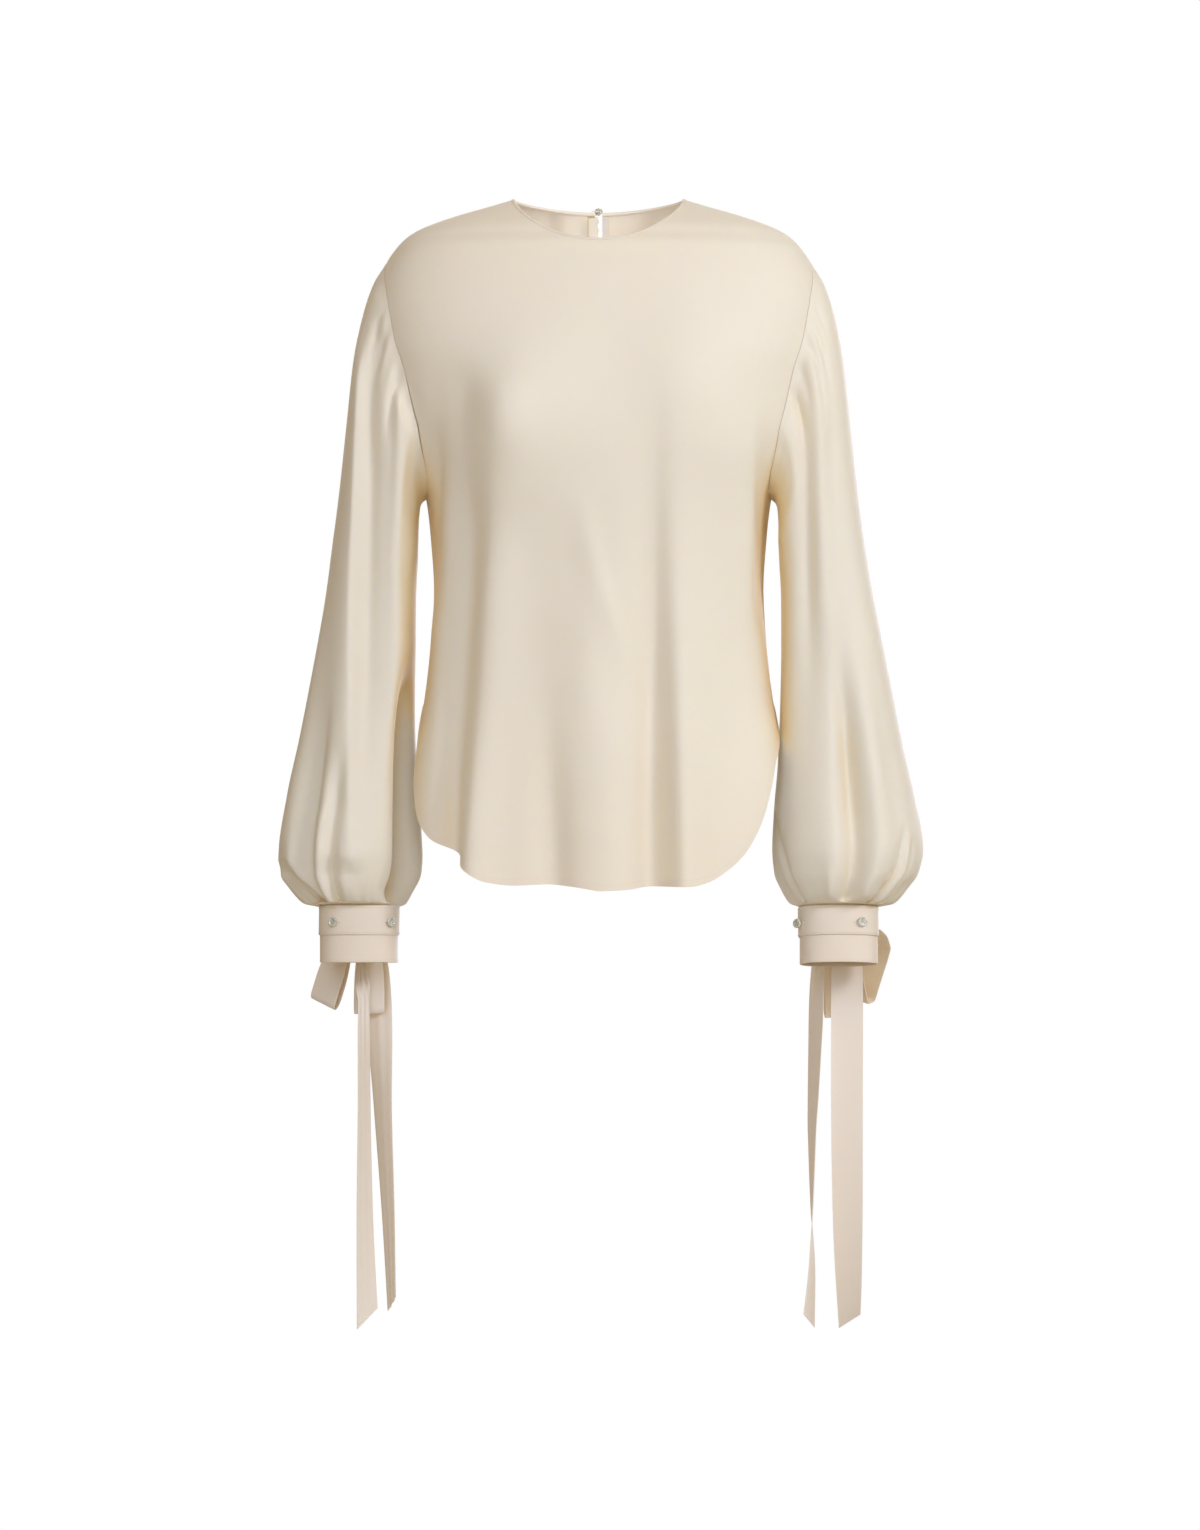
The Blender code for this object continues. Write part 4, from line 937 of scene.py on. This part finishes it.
def make_binding():
    """The narrow binding that is folded over the neckline, from one side of the slit round to the other."""
    first = math.asin(SLIT_WIDTH / 2 / NECK_HALF_WIDTH) * 2 / math.pi
    back = np.linspace(first, 1, BINDING_STEPS["back"])
    front = np.linspace(-1, 1, BINDING_STEPS["front"])[1:-1]
    parts = []
    for panel, shares in (("back", -back), ("front", front), ("back", back[::-1])):
        top = panel_points(shares, 0.0, panel)
        down = panel_points(shares, neck_reach(shares, panel, BINDING_HEIGHT), panel) - top
        out = unit(np.cross(down, np.gradient(top, axis=0)))
        out *= np.where(out[:, 1:2] * FORWARD[panel] < 0, -1, 1)
        parts.append((top, out, unit(down)))
    places, outs, downs = (np.concatenate(part) for part in zip(*parts))
    for _ in range(6):
        outs[1:-1] = (outs[:-2] + 2 * outs[1:-1] + outs[2:]) / 4
    outs = unit(outs)
    p, d, h = BINDING_PROUD, BINDING_DEEP, BINDING_HEIGHT
    profile = (
        (0.0, h - 0.1), (p * 0.7, h - 0.15), (p, h - 0.6), (p, h * 0.5), (p * 0.9, 0.7), (p * 0.2, 0.15),
        (-CLOTH * 0.6, 0.0), (-d * 0.8, 0.25), (-d, 0.8), (-d, h - 0.6), (-d * 0.9, h), (-CLOTH, h),
    )
    return sweep("neckline_binding", places, outs, downs, profile, SILK)


def make_slit_strips():
    """Turned edges inside the back, one down each side of the slit."""
    top, bottom = slit_ends()
    made = {}
    for name, side in OUTWARD.items():
        middle, out = slit_line(side)
        width = SLIT_STRIP_WIDTH[name]
        across = np.linspace(0.0, width, 8)
        start = np.maximum(slit_half_width(middle[:, 2], top, bottom) + SLIT_STRIP_START[name], 0.2)
        grid = np.repeat(middle[:, None, :], len(across), axis=1)
        grid[..., 0] = side * (start[:, None] + across)
        directions = np.repeat(out[:, None, :], len(across), axis=1)
        lift = SLIT_STRIP_LIFT[name] * (across / width) ** 0.7
        grid -= directions * (CLOTH + SLIT_STRIP_GAP + lift)[:, None]
        made[name] = grid_wall("slit_strip_" + name, grid, directions, SLIT_STRIP_CLOTH, SILK)
    return made


def slit_line(side):
    """Places down the middle of the slit below the binding, and the directions that face out there."""
    downs = np.linspace(neck_reach(0.0, "back", BINDING_HEIGHT), SLIT_END - 0.03, SLIT_STEPS)
    middle = panel_points(0.0001, downs, "back")
    beside = panel_points(side * 0.02, downs, "back")
    out = unit(np.cross(np.gradient(middle, axis=0), beside - middle) * side)
    return middle, out * np.sign(out[:, 1:2])


def make_slit_overcast():
    """A row of small thread loops over the slit's edge on the wearer's right side."""
    top, bottom = slit_ends()
    middle, out = slit_line(-1)
    keys = np.linspace(0, 1, SLIT_STEPS)
    turn = np.linspace(-SLIT_LOOP_TURN, SLIT_LOOP_TURN, 12)
    parts = []
    for share in (np.arange(SLIT_LOOPS) + 0.5) / SLIT_LOOPS:
        place = between(share, keys, middle)
        away = out[int(share * (SLIT_STEPS - 1))]
        beside = -slit_half_width(place[2], top, bottom) - 0.6 - SLIT_STRIP_START["right"]
        ring = xyz(beside + SLIT_LOOP_SIZE * np.cos(turn), 0, SLIT_LOOP_SIZE * 1.25 * np.sin(turn))
        path = place - away * (CLOTH + 1.5) + ring
        parts.append(cord("loop", path, away, 0.45, THREAD_SILK, 6))
    return join("slit_overcast", parts)


def make_closure():
    """A pearl shank button over the top of the slit and the thread loop that goes round it."""
    top, lower = panel_points(0.0001, 0.0, "back"), panel_points(0.0001, 0.05, "back")
    down = unit(lower - top)
    across = np.array([1.0, 0.0, 0.0])
    out = np.cross(across, down)
    out *= np.sign(out[1])
    centre = top + down * NECK_BUTTON_DROP
    lift = BINDING_PROUD + 0.3 + NECK_LOOP_RADIUS
    under = lift + NECK_LOOP_RADIUS + 0.3
    profile = [(-2.0, 0), (-2.0, 0.8), (under - 0.2, 0.8), (under, 1.2)]
    profile += [(under + high, share * NECK_BUTTON_RADIUS) for high, share in NECK_BUTTON_CAP]
    button = lathe("closure_button", profile, centre, out, PEARL)
    bend = np.radians(np.linspace(90, -90, 18))
    path = (across * np.cos(bend)[:, None] + down * np.sin(bend)[:, None]) * NECK_LOOP_BEND
    legs = np.linspace(NECK_LOOP_REACH, 0.4, 12)[:, None] * across
    path = np.concatenate([path[0] - legs, path, path[-1] - legs[::-1]])
    loop = cord("closure_loop", centre + out * lift + path, out, NECK_LOOP_RADIUS, THREAD_SILK)
    return button, loop


# Sleeves


def sleeve_section(side, angle, along):
    """Points of a sleeve's plain tube, on the left. Angle 0 is its outer side, a right angle its front."""
    fuller = SLEEVE_FULLER[side] * smoothstep(0.4, 0.7, along) * (1 - smoothstep(0.86, 0.96, along))
    row = {name: read(SLEEVE, name, along) for name in SLEEVE if name != "along"}
    outer = xyz(row["outer_x"] + fuller, 0, row["outer_z"])
    inner = xyz(row["inner_x"], 0, row["inner_z"])
    middle = (outer + inner) / 2 + xyz(0, row["middle_y"], 0)
    forward = xyz(0, -row["half_depth"], row["front_rise"])
    s, c = oval(angle)
    return middle + (outer - inner) / 2 * c[..., None] + forward * s[..., None]


def gather_push(side, degrees, along):
    """Uneven gathers that grow towards the cuff, a few broad ones and many fine ones."""
    chance = random.Random(FINE_GATHER_SEEDS[side])
    radians = np.radians(degrees)
    sides = 0.45 + 0.55 * np.cos(radians) ** 2
    calm = 1 - 0.7 * smoothstep(0.975, 1.0, along)
    broad = smoothstep(BROAD_GATHER_START, 0.97, along) * calm
    push = broad * sides * BROAD_GATHER_DEPTH * np.cos(BROAD_GATHERS * radians)
    for k in range(FINE_GATHERS):
        drift, start, depth, width, lean = (chance.uniform(*span) for span in FINE_GATHER_RANGES.values())
        middle = (k + drift) * 360 / FINE_GATHERS
        apart = (degrees - middle - lean * (1 - along) * 4 + 180) % 360 - 180
        wide = width * (1 + 1.2 * (1 - smoothstep(start, 1.0, along)))
        present = smoothstep(start, min(start + 0.12, 0.99), along) * calm
        push = push + depth * present * (np.exp(-((apart / wide) ** 2)) - wide * math.sqrt(math.pi) / 360)
    return push


def make_sleeve(side):
    angles = turns(SLEEVE_COLUMNS)
    degrees = np.degrees(angles)[None, :]
    in_front = angles <= math.pi
    places = 1 + np.where(in_front, angles / math.pi, 2 - angles / math.pi)
    armhole = [panel_points(1.0, places, panel) for panel in ("front", "back")]
    t = np.linspace(0, 1, SLEEVE_ROWS + 1)[:, None]
    along = t * 0.55 + (1 - (1 - t) ** 1.8) * 0.45
    tube = sleeve_section(side, *np.broadcast_arrays(angles, along))
    drift = np.where(in_front[:, None], *armhole) - tube[0]
    tube = tube + drift * (1 - smoothstep(0, SLEEVE_JOIN_SHARE, along))[..., None]
    middles = sleeve_section(side, *np.broadcast_arrays([0, math.pi], along)).mean(axis=1)
    away = unit(tube - middles[:, None, :])
    push = crease_push(SLEEVE_CREASES[side], degrees, -along, turn=360.0) + gather_push(side, degrees, along)
    grid = tube + away * (push * np.clip(along / 0.03, 0, 1))[..., None]
    grid[0, :, 0] += ARMHOLE_GAP
    normals = -grid_normals(grid, closed=True)
    tuck = unit(middles[-1] - grid[-1])
    above = [grid[0] - normals[0] * depth for depth in SEAM_TURN[::-1]]
    below = [grid[-1] + tuck * inward - (0, 0, down) for inward, down in SLEEVE_TUCK]
    grid = np.concatenate([above, grid, below])
    normals = np.pad(normals, ((len(above), len(below)), (0, 0), (0, 0)), mode="edge")
    mirror = (OUTWARD[side], 1, 1)
    return grid_wall("sleeve_cloth_" + side, grid * mirror, normals * mirror, CLOTH, SILK, closed=True)


# Cuffs, tie bands and bows


def cuff_points(side, turn, down, out=0.0):
    """Points on a cuff and the directions away from it: turn from its front towards the outer side, down from
    its top edge, out from its face."""
    turn, down, out = np.broadcast_arrays(np.asarray(turn, float), down, out)
    s, c = oval(turn)
    tilt = math.radians(CUFF_TILT[side])
    forward = np.array([0, -math.cos(tilt), math.sin(tilt)])
    downward = np.array([0, -math.sin(tilt), -math.cos(tilt)])
    top = (OUTWARD[side] * CUFF_X, CUFF_TOP_Y, CUFF_TOP_Z[side])

    def level(x, y):
        return xyz(OUTWARD[side] * x, 0, 0) + forward * y[..., None]

    away = unit(level(np.sin(turn) / CUFF_HALF_WIDTH, np.cos(turn) / CUFF_HALF_DEPTH))
    face = level(CUFF_HALF_WIDTH * s, CUFF_HALF_DEPTH * c)
    return top + face + downward * down[..., None] + away * out[..., None], away


def make_band(name, side, profile, material, ripple=0.0):
    """A band round a wrist from a closed profile of (down, out) pairs. The ripple makes its faces uneven."""
    angles = turns(CUFF_COLUMNS)[:, None]
    profile = np.asarray(profile, float)
    down, out = profile.T
    uneven = ripple * (np.sin(3 * angles + down * 0.08) + 0.6 * np.sin(7 * angles - down * 0.15 + 1.3))
    points, _ = cuff_points(side, angles, down, out + uneven)
    index = grid_index(*points.shape[:2])
    index = np.concatenate([index, index[:1]])
    around = angles * (CUFF_HALF_WIDTH + CUFF_HALF_DEPTH) / 2
    length = np.concatenate([[0], np.cumsum(np.linalg.norm(np.diff(profile, axis=0), axis=1))])
    uv = np.stack(np.broadcast_arrays(around, -length), axis=-1).reshape(-1, 2) * MM
    return make_mesh(name, points.reshape(-1, 3), grid_faces(index, closed=True), material, uv)


def folded_profile(top, bottom, inside, outside, steps):
    """A band's closed profile: down its outer face, round the lower fold, and up its inner face."""
    face = np.linspace(top + 0.5, bottom - 0.5, steps)
    mid = (inside + outside) / 2
    outer = [(d, outside) for d in face]
    fold = [(bottom - 0.12, outside - 0.15), (bottom, mid), (bottom - 0.12, inside + 0.15)]
    inner = [(d, inside) for d in face[::-1]]
    upper = [(top + 0.12, inside + 0.15), (top, mid), (top + 0.12, outside - 0.15)]
    return outer + fold + inner + upper


def make_cuff(side):
    """The cuff and the tie band over it."""
    cuff = folded_profile(0, CUFF_HEIGHT, -CUFF_CLOTH, 0.0, 16)
    band = folded_profile(BAND_TOP, BAND_TOP + BAND_HEIGHT, BAND_IN, BAND_OUT, 10)
    return (
        make_band("cuff_cloth_" + side, side, cuff, CUFF_SILK, CUFF_RIPPLE),
        make_band("band_cloth_" + side, side, band, CUFF_SILK, BAND_RIPPLE),
    )


def make_cuff_button(name, side, pose):
    """A pearl button with a rim, four holes that are dark plugs of painted shade and two rows of thread, sewn
    on with a thread shank.
    """
    base, out = cuff_points(side, math.radians(pose["turn"]), BUTTON_DOWN, BAND_OUT)
    lean = math.radians(pose["lean"])
    away = unit(out + np.array([0.0, -math.tan(lean), 0.0]))
    centre = base + out * pose["lift"]
    profile = [(share * BUTTON_THICKNESS, wide * BUTTON_RADIUS) for share, wide in BUTTON_PROFILE]
    disc = lathe(name, profile, centre, away, PEARL)
    level = unit(np.cross(away, [0.0, 0.0, 1.0]))
    up = np.cross(level, away)
    spin = pose["spin"]
    a, b = level * math.cos(spin) + up * math.sin(spin), up * math.cos(spin) - level * math.sin(spin)
    face = centre + away * BUTTON_DISH * BUTTON_THICKNESS
    parts = [disc]
    # Each hole is a dark plug set into the face: painted shade for an open hole.
    for i, j in ((1, 1), (1, -1), (-1, 1), (-1, -1)):
        hole = face + (a * i + b * j) * HOLE_PLACE
        parts.append(lathe(name + "_hole", HOLE_PROFILE, hole, away, HOLE_PAINTED_SHADE, 16))
    for i in (1, -1):
        bend = np.linspace(-1, 1, 9)
        path = face + a * (HOLE_PLACE * i) + b * (bend * HOLE_PLACE)[:, None]
        path += away * (0.3 * (1 - bend ** 4))[:, None]
        parts.append(cord(name + "_thread", path, away, 0.28, THREAD_SILK, 8))
    shank = np.linspace(-0.4, pose["lift"] + 0.2, 4)[:, None] * out + base
    parts.append(cord(name + "_shank", shank, level, 0.9, THREAD_SILK, 8))
    return join(name, parts)


def make_buttonhole(side, turn):
    """A worked buttonhole round one button's shank: a ring of close thread lying on the tie band."""
    half = BUTTONHOLE_LENGTH / 2 / CUFF_HALF_WIDTH
    a = turns(48)
    path, away = cuff_points(side, turn + half * np.cos(a), BUTTON_DOWN + 0.75 * np.sin(a), BAND_OUT + 0.12)
    ahead = unit(np.roll(path, -1, axis=0) - np.roll(path, 1, axis=0))
    return sweep("buttonhole", path, away, np.cross(ahead, away), circle(0.42, 8), THREAD_SILK, closed=True)


def knot_centre(side):
    back, _ = cuff_points(side, math.pi, BAND_TOP + BAND_HEIGHT / 2, 1.6 + KNOT_SIZE[1] / 2)
    return np.array([OUTWARD[side] * KNOT_X, back[1], back[2]])


def make_knot(side):
    """The bow's knot: a soft pillow with folds that run down it, lying on the band behind the wrist."""
    tilt = math.radians(-CUFF_TILT[side])
    wide, deep, high = (size / 2 for size in KNOT_SIZE)
    rise = np.linspace(0.02, math.pi - 0.02, KNOT_ROWS)[:, None]
    turn = turns(KNOT_SIDES)[None, :]
    s, c = oval(turn)
    ring = np.sin(rise) ** 0.55
    folds = 1 + 0.045 * np.cos(9 * turn + 1.2 * np.cos(rise)) * np.sin(rise) + 0.03 * np.cos(4 * turn + 2.0)
    x, y, z = wide * c * ring * folds, deep * s * ring * folds, high * np.cos(rise) + 0 * turn
    s, c = math.sin(tilt), math.cos(tilt)
    points = knot_centre(side) + xyz(x, y * c - z * s, y * s + z * c)
    faces = tube_faces(grid_index(KNOT_ROWS, KNOT_SIDES))
    return make_mesh("knot_cloth_" + side, points.reshape(-1, 3), faces, TIE_SILK)


def strip_places(steps):
    """Places across a strip, -0.5 to 0.5, the outermost two close together for its pressed edges."""
    return np.concatenate([[-0.5], np.linspace(-PRESSED_EDGE, PRESSED_EDGE, steps - 1), [0.5]])


def strip(middles, across, outs, widths, steps):
    """A strip of cloth along a path. Where it is narrower than its full width it bunches up into folds."""
    edges = strip_places(steps)
    bunched = np.clip(1 - widths / TIE_WIDTH, 0, 1)[:, None]
    lift = BUNCH_DEPTH * bunched * np.cos(edges[None, :] * 2 * math.pi * 2.5)
    sideways = across[:, None, :] * (edges[None, :] * widths[:, None])[..., None]
    return middles[:, None, :] + sideways + outs[:, None, :] * (TIE_CLOTH / 2 + lift)[..., None]


def strip_wall(name, grid, outs):
    """A tie's cloth, thinner at its pressed edges."""
    normals = grid_normals(grid)
    normals *= np.sign(np.sum(normals * outs[:, None, :], axis=2).mean())
    thickness = np.full(grid.shape[:2], TIE_CLOTH)
    thickness[:, [0, -1]] = TIE_CLOTH * 0.6
    return grid_wall(name, grid, normals, thickness, TIE_SILK)


def loop_axes(side, lean, back, turn):
    """Directions down a loop's axis, across its strip and off its axis."""
    facing = OUTWARD[side]
    lean, back, turn = (math.radians(a) for a in (lean, back, turn))
    down = np.array([facing * math.sin(lean), 0, -math.cos(lean)])
    down = unit(down * math.cos(back) + np.array([0, math.sin(back), 0]))
    outward = np.array([facing * math.cos(lean), 0, math.sin(lean)])
    behind = np.cross(down, outward) * -facing
    off = behind * math.cos(turn) + outward * math.sin(turn)
    return down, outward * math.cos(turn) - behind * math.sin(turn), off


def make_bow_loop(name, side, shape, pose):
    pose = dict(zip(LOOP_COLUMNS, pose))
    down, across, off = loop_axes(side, pose["lean"], pose["back"], pose["turn"])
    start = knot_centre(side) + (OUTWARD[side] * pose["start"], 0, 0)
    rows = LOOP_SHAPES[shape]
    steps = rows["step"][-1] * np.linspace(0, 1, LOOP_STEPS + 1)
    lower, aside = read(rows, "down", steps)[:, None] * pose["length"], read(rows, "off", steps)[:, None]
    middles = start + down * lower + off * aside
    outs = unit(np.cross(np.gradient(middles, axis=0), across))
    widths = TIE_WIDTH * read(rows, "width", steps)
    grid = strip(middles, np.broadcast_to(across, middles.shape), outs, widths, LOOP_ACROSS)
    return strip_wall(name + "_cloth", grid, outs)


def make_tie_end(name, route):
    """A hanging end of a tie, cut to a slanting point."""
    top, bottom = route["z"][-1], route["z"][0]
    facing = 1 if route["x"][0] > 0 else -1
    share = np.linspace(0, 1, TIE_STEPS + 1)
    z = top + (bottom - top) * share
    turn = np.radians(read(route, "turn", z))
    across = xyz(np.cos(turn), -np.sin(turn) * facing, 0)
    outs = xyz(-np.sin(turn) * facing, -np.cos(turn), 0)
    middles = xyz(read(route, "x", z), read(route, "y", z), z)
    grid = strip(middles, across, outs, read(route, "width", z), TIE_ACROSS)
    edges = strip_places(TIE_ACROSS)
    grid[..., 2] += TIE_POINT_DROP * (0.5 + edges)[None, :] * (share ** 6)[:, None]
    return strip_wall(name + "_cloth", grid, outs)


# Stitching


def hem_row(panel):
    """The stitches that hold the narrow hem of a panel."""
    shares = np.linspace(-HEM_ROW_REACH, HEM_ROW_REACH, HEM_ROW_POINTS)
    low, above = panel_points(shares, 3.0, panel), panel_points(shares, 2.9, panel)
    up = unit(above - low)
    path = low + up * (HEM_DEPTH - 0.6)
    out = unit(np.cross(np.gradient(path, axis=0), up))
    out *= np.sign(out[HEM_ROW_POINTS // 2, 1]) * FORWARD[panel]
    return stitches("stitches_hem_" + panel, path, out, HEM_STITCH, HEM_STITCH_GAP)


def make_stitch_rows():
    """Every row of stitches that shows: both hems, both edges of each tie band, and the buttonholes."""
    made = {"front_hem": hem_row("front"), "back_hem": hem_row("back")}
    angles = np.linspace(0, 2 * math.pi, 200)
    for side in ("left", "right"):
        edges = []
        for down in (BAND_TOP + BAND_STITCH_IN, BAND_TOP + BAND_HEIGHT - BAND_STITCH_IN):
            on_band = cuff_points(side, angles, down, BAND_OUT)
            edges.append(stitches("edge", *on_band, BAND_STITCH, BAND_STITCH_GAP))
        made["band_" + side] = join("stitches_band_" + side, edges)
        holes = [make_buttonhole(side, math.radians(turn)) for turn in CUFF_BUTTONS[side]["turn"]]
        made["buttonholes_" + side] = join("buttonholes_" + side, holes)
    return made


# Camera, lights and floor


def make_camera():
    data = bpy.data.cameras.new("camera")
    data.sensor_width = SENSOR
    data.lens = SENSOR * CAMERA_DISTANCE / (PHOTO_SIZE[1] * MM_PER_PIXEL)
    data.clip_end = 60.0
    camera = bpy.data.objects.new("camera", data)
    bpy.context.scene.collection.objects.link(camera)
    camera.location = (CAMERA_X * MM, -CAMERA_DISTANCE * MM, CAMERA_Z * MM)
    camera.rotation_euler = (math.radians(90), 0, 0)
    bpy.context.scene.camera = camera


def area_light(name, place, size, power, colour, aim=(0.0, 0.0, -0.4)):
    """A square soft light at a place in metres, aimed at the middle of the blouse or at another place."""
    data = bpy.data.lights.new(name, "AREA")
    data.shape = "SQUARE"
    data.size = size
    data.energy = power
    data.color = colour
    light = bpy.data.objects.new(name, data)
    bpy.context.scene.collection.objects.link(light)
    light.location = place
    light.rotation_euler = Vector(np.subtract(aim, place)).to_track_quat("-Z", "Y").to_euler()
    return light


def make_world():
    """A dim, warm surround for the light, and plain white behind the blouse."""
    world = bpy.data.worlds.new("studio")
    bpy.context.scene.world = world
    world.use_nodes = True
    tree = world.node_tree
    dim = give(tree.nodes["Background"], Color=(1, 0.72, 0.36, 1), Strength=0.31)
    white = add(tree, "Background", Color=(1, 1, 1, 1), Strength=1)
    rays = add(tree, "LightPath")
    mix = add(tree, "MixShader", rays.outputs["Is Camera Ray"], "Fac")
    tree.links.new(dim.outputs[0], mix.inputs[1])
    tree.links.new(white.outputs[0], mix.inputs[2])
    tree.links.new(mix.outputs[0], tree.nodes["World Output"].inputs["Surface"])


def make_floor():
    ring = xyz(*circle(FLOOR_RADIUS, FLOOR_SIDES).T, FLOOR_Z)
    points = np.concatenate([ring, ring - (0, 0, FLOOR_THICKNESS)])
    make_mesh("floor", points, tube_faces(grid_index(2, FLOOR_SIDES)), FLOOR)


make_camera()
make_world()
make_floor()
area_light("key", (2.3, -2.3, 0.9), 0.8, 43.0, (0.99, 0.99, 1.14))
area_light("front", (-0.4, -3.1, 0.5), 2.4, 47.5, (0.90, 1.02, 1.34))
area_light("top", (0.2, -1.0, 2.7), 1.8, 2.5, (1.0, 1.0, 1.0))
area_light("side", (3.1, -0.5, 0.3), 1.8, 15.0, (0.8, 1.0, 1.16))
area_light("backdrop", (0.0, 2.6, 0.6), 3.0, 35.0, (1.0, 1.0, 1.0))
behind = area_light("behind", (1.1, 2.2, -0.3), 1.4, 23.0, (0.86, 0.98, 1.3))
behind.visible_camera = False
inner = area_light("inside the neck", (0.0, -0.01, -0.10), 0.08, 0.07, (1.0, 0.96, 1.08), (0.0, 0.07, 0.01))
inner.visible_camera = False
bpy.context.scene.view_settings.view_transform = "Standard"

# Pieces


def keep(piece, slot, *nodes):
    """Puts a piece on the root body and hides the nodes that it replaces. slot is not used."""
    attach(piece, "root")
    if nodes:
        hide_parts(*nodes)
    return piece


front = keep(make_front(), "silk", "front")
back = keep(make_back(), "silk", "back")
binding = keep(make_binding(), "silk", "neck_binding")
strips = make_slit_strips()
overcast = keep(make_slit_overcast(), "silk")
for side, piece in strips.items():
    keep(piece, "silk", "slit_edge_" + side)
neck_button, neck_loop = make_closure()
keep(neck_button, "pearl", "neck_button")
keep(neck_loop, "silk", "neck_loop")
rows = {name: keep(piece, "silk") for name, piece in make_stitch_rows().items()}
for side in ("left", "right"):
    sleeve = keep(make_sleeve(side), "silk", "sleeve_" + side)
    cuff, band = make_cuff(side)
    keep(cuff, "cuff_silk", "cuff_" + side)
    keep(band, "cuff_silk", "tie_band_" + side)
    for place, pose in zip(("outer", "inner"), rows_of(CUFF_BUTTONS[side])):
        button = make_cuff_button(f"button_{place}_{side}", side, pose)
        keep(button, "pearl", f"cuff_button_{place}_{side}")
    knot = keep(make_knot(side), "cuff_silk", "bow_knot_" + side)
    for name, shape in BOW_LOOPS.items():
        if name.endswith(side):
            loop = keep(make_bow_loop(name, side, *shape), "cuff_silk", name)
    for name, route in TIE_ENDS.items():
        if name.endswith(side):
            end = keep(make_tie_end(name, route), "cuff_silk", name)
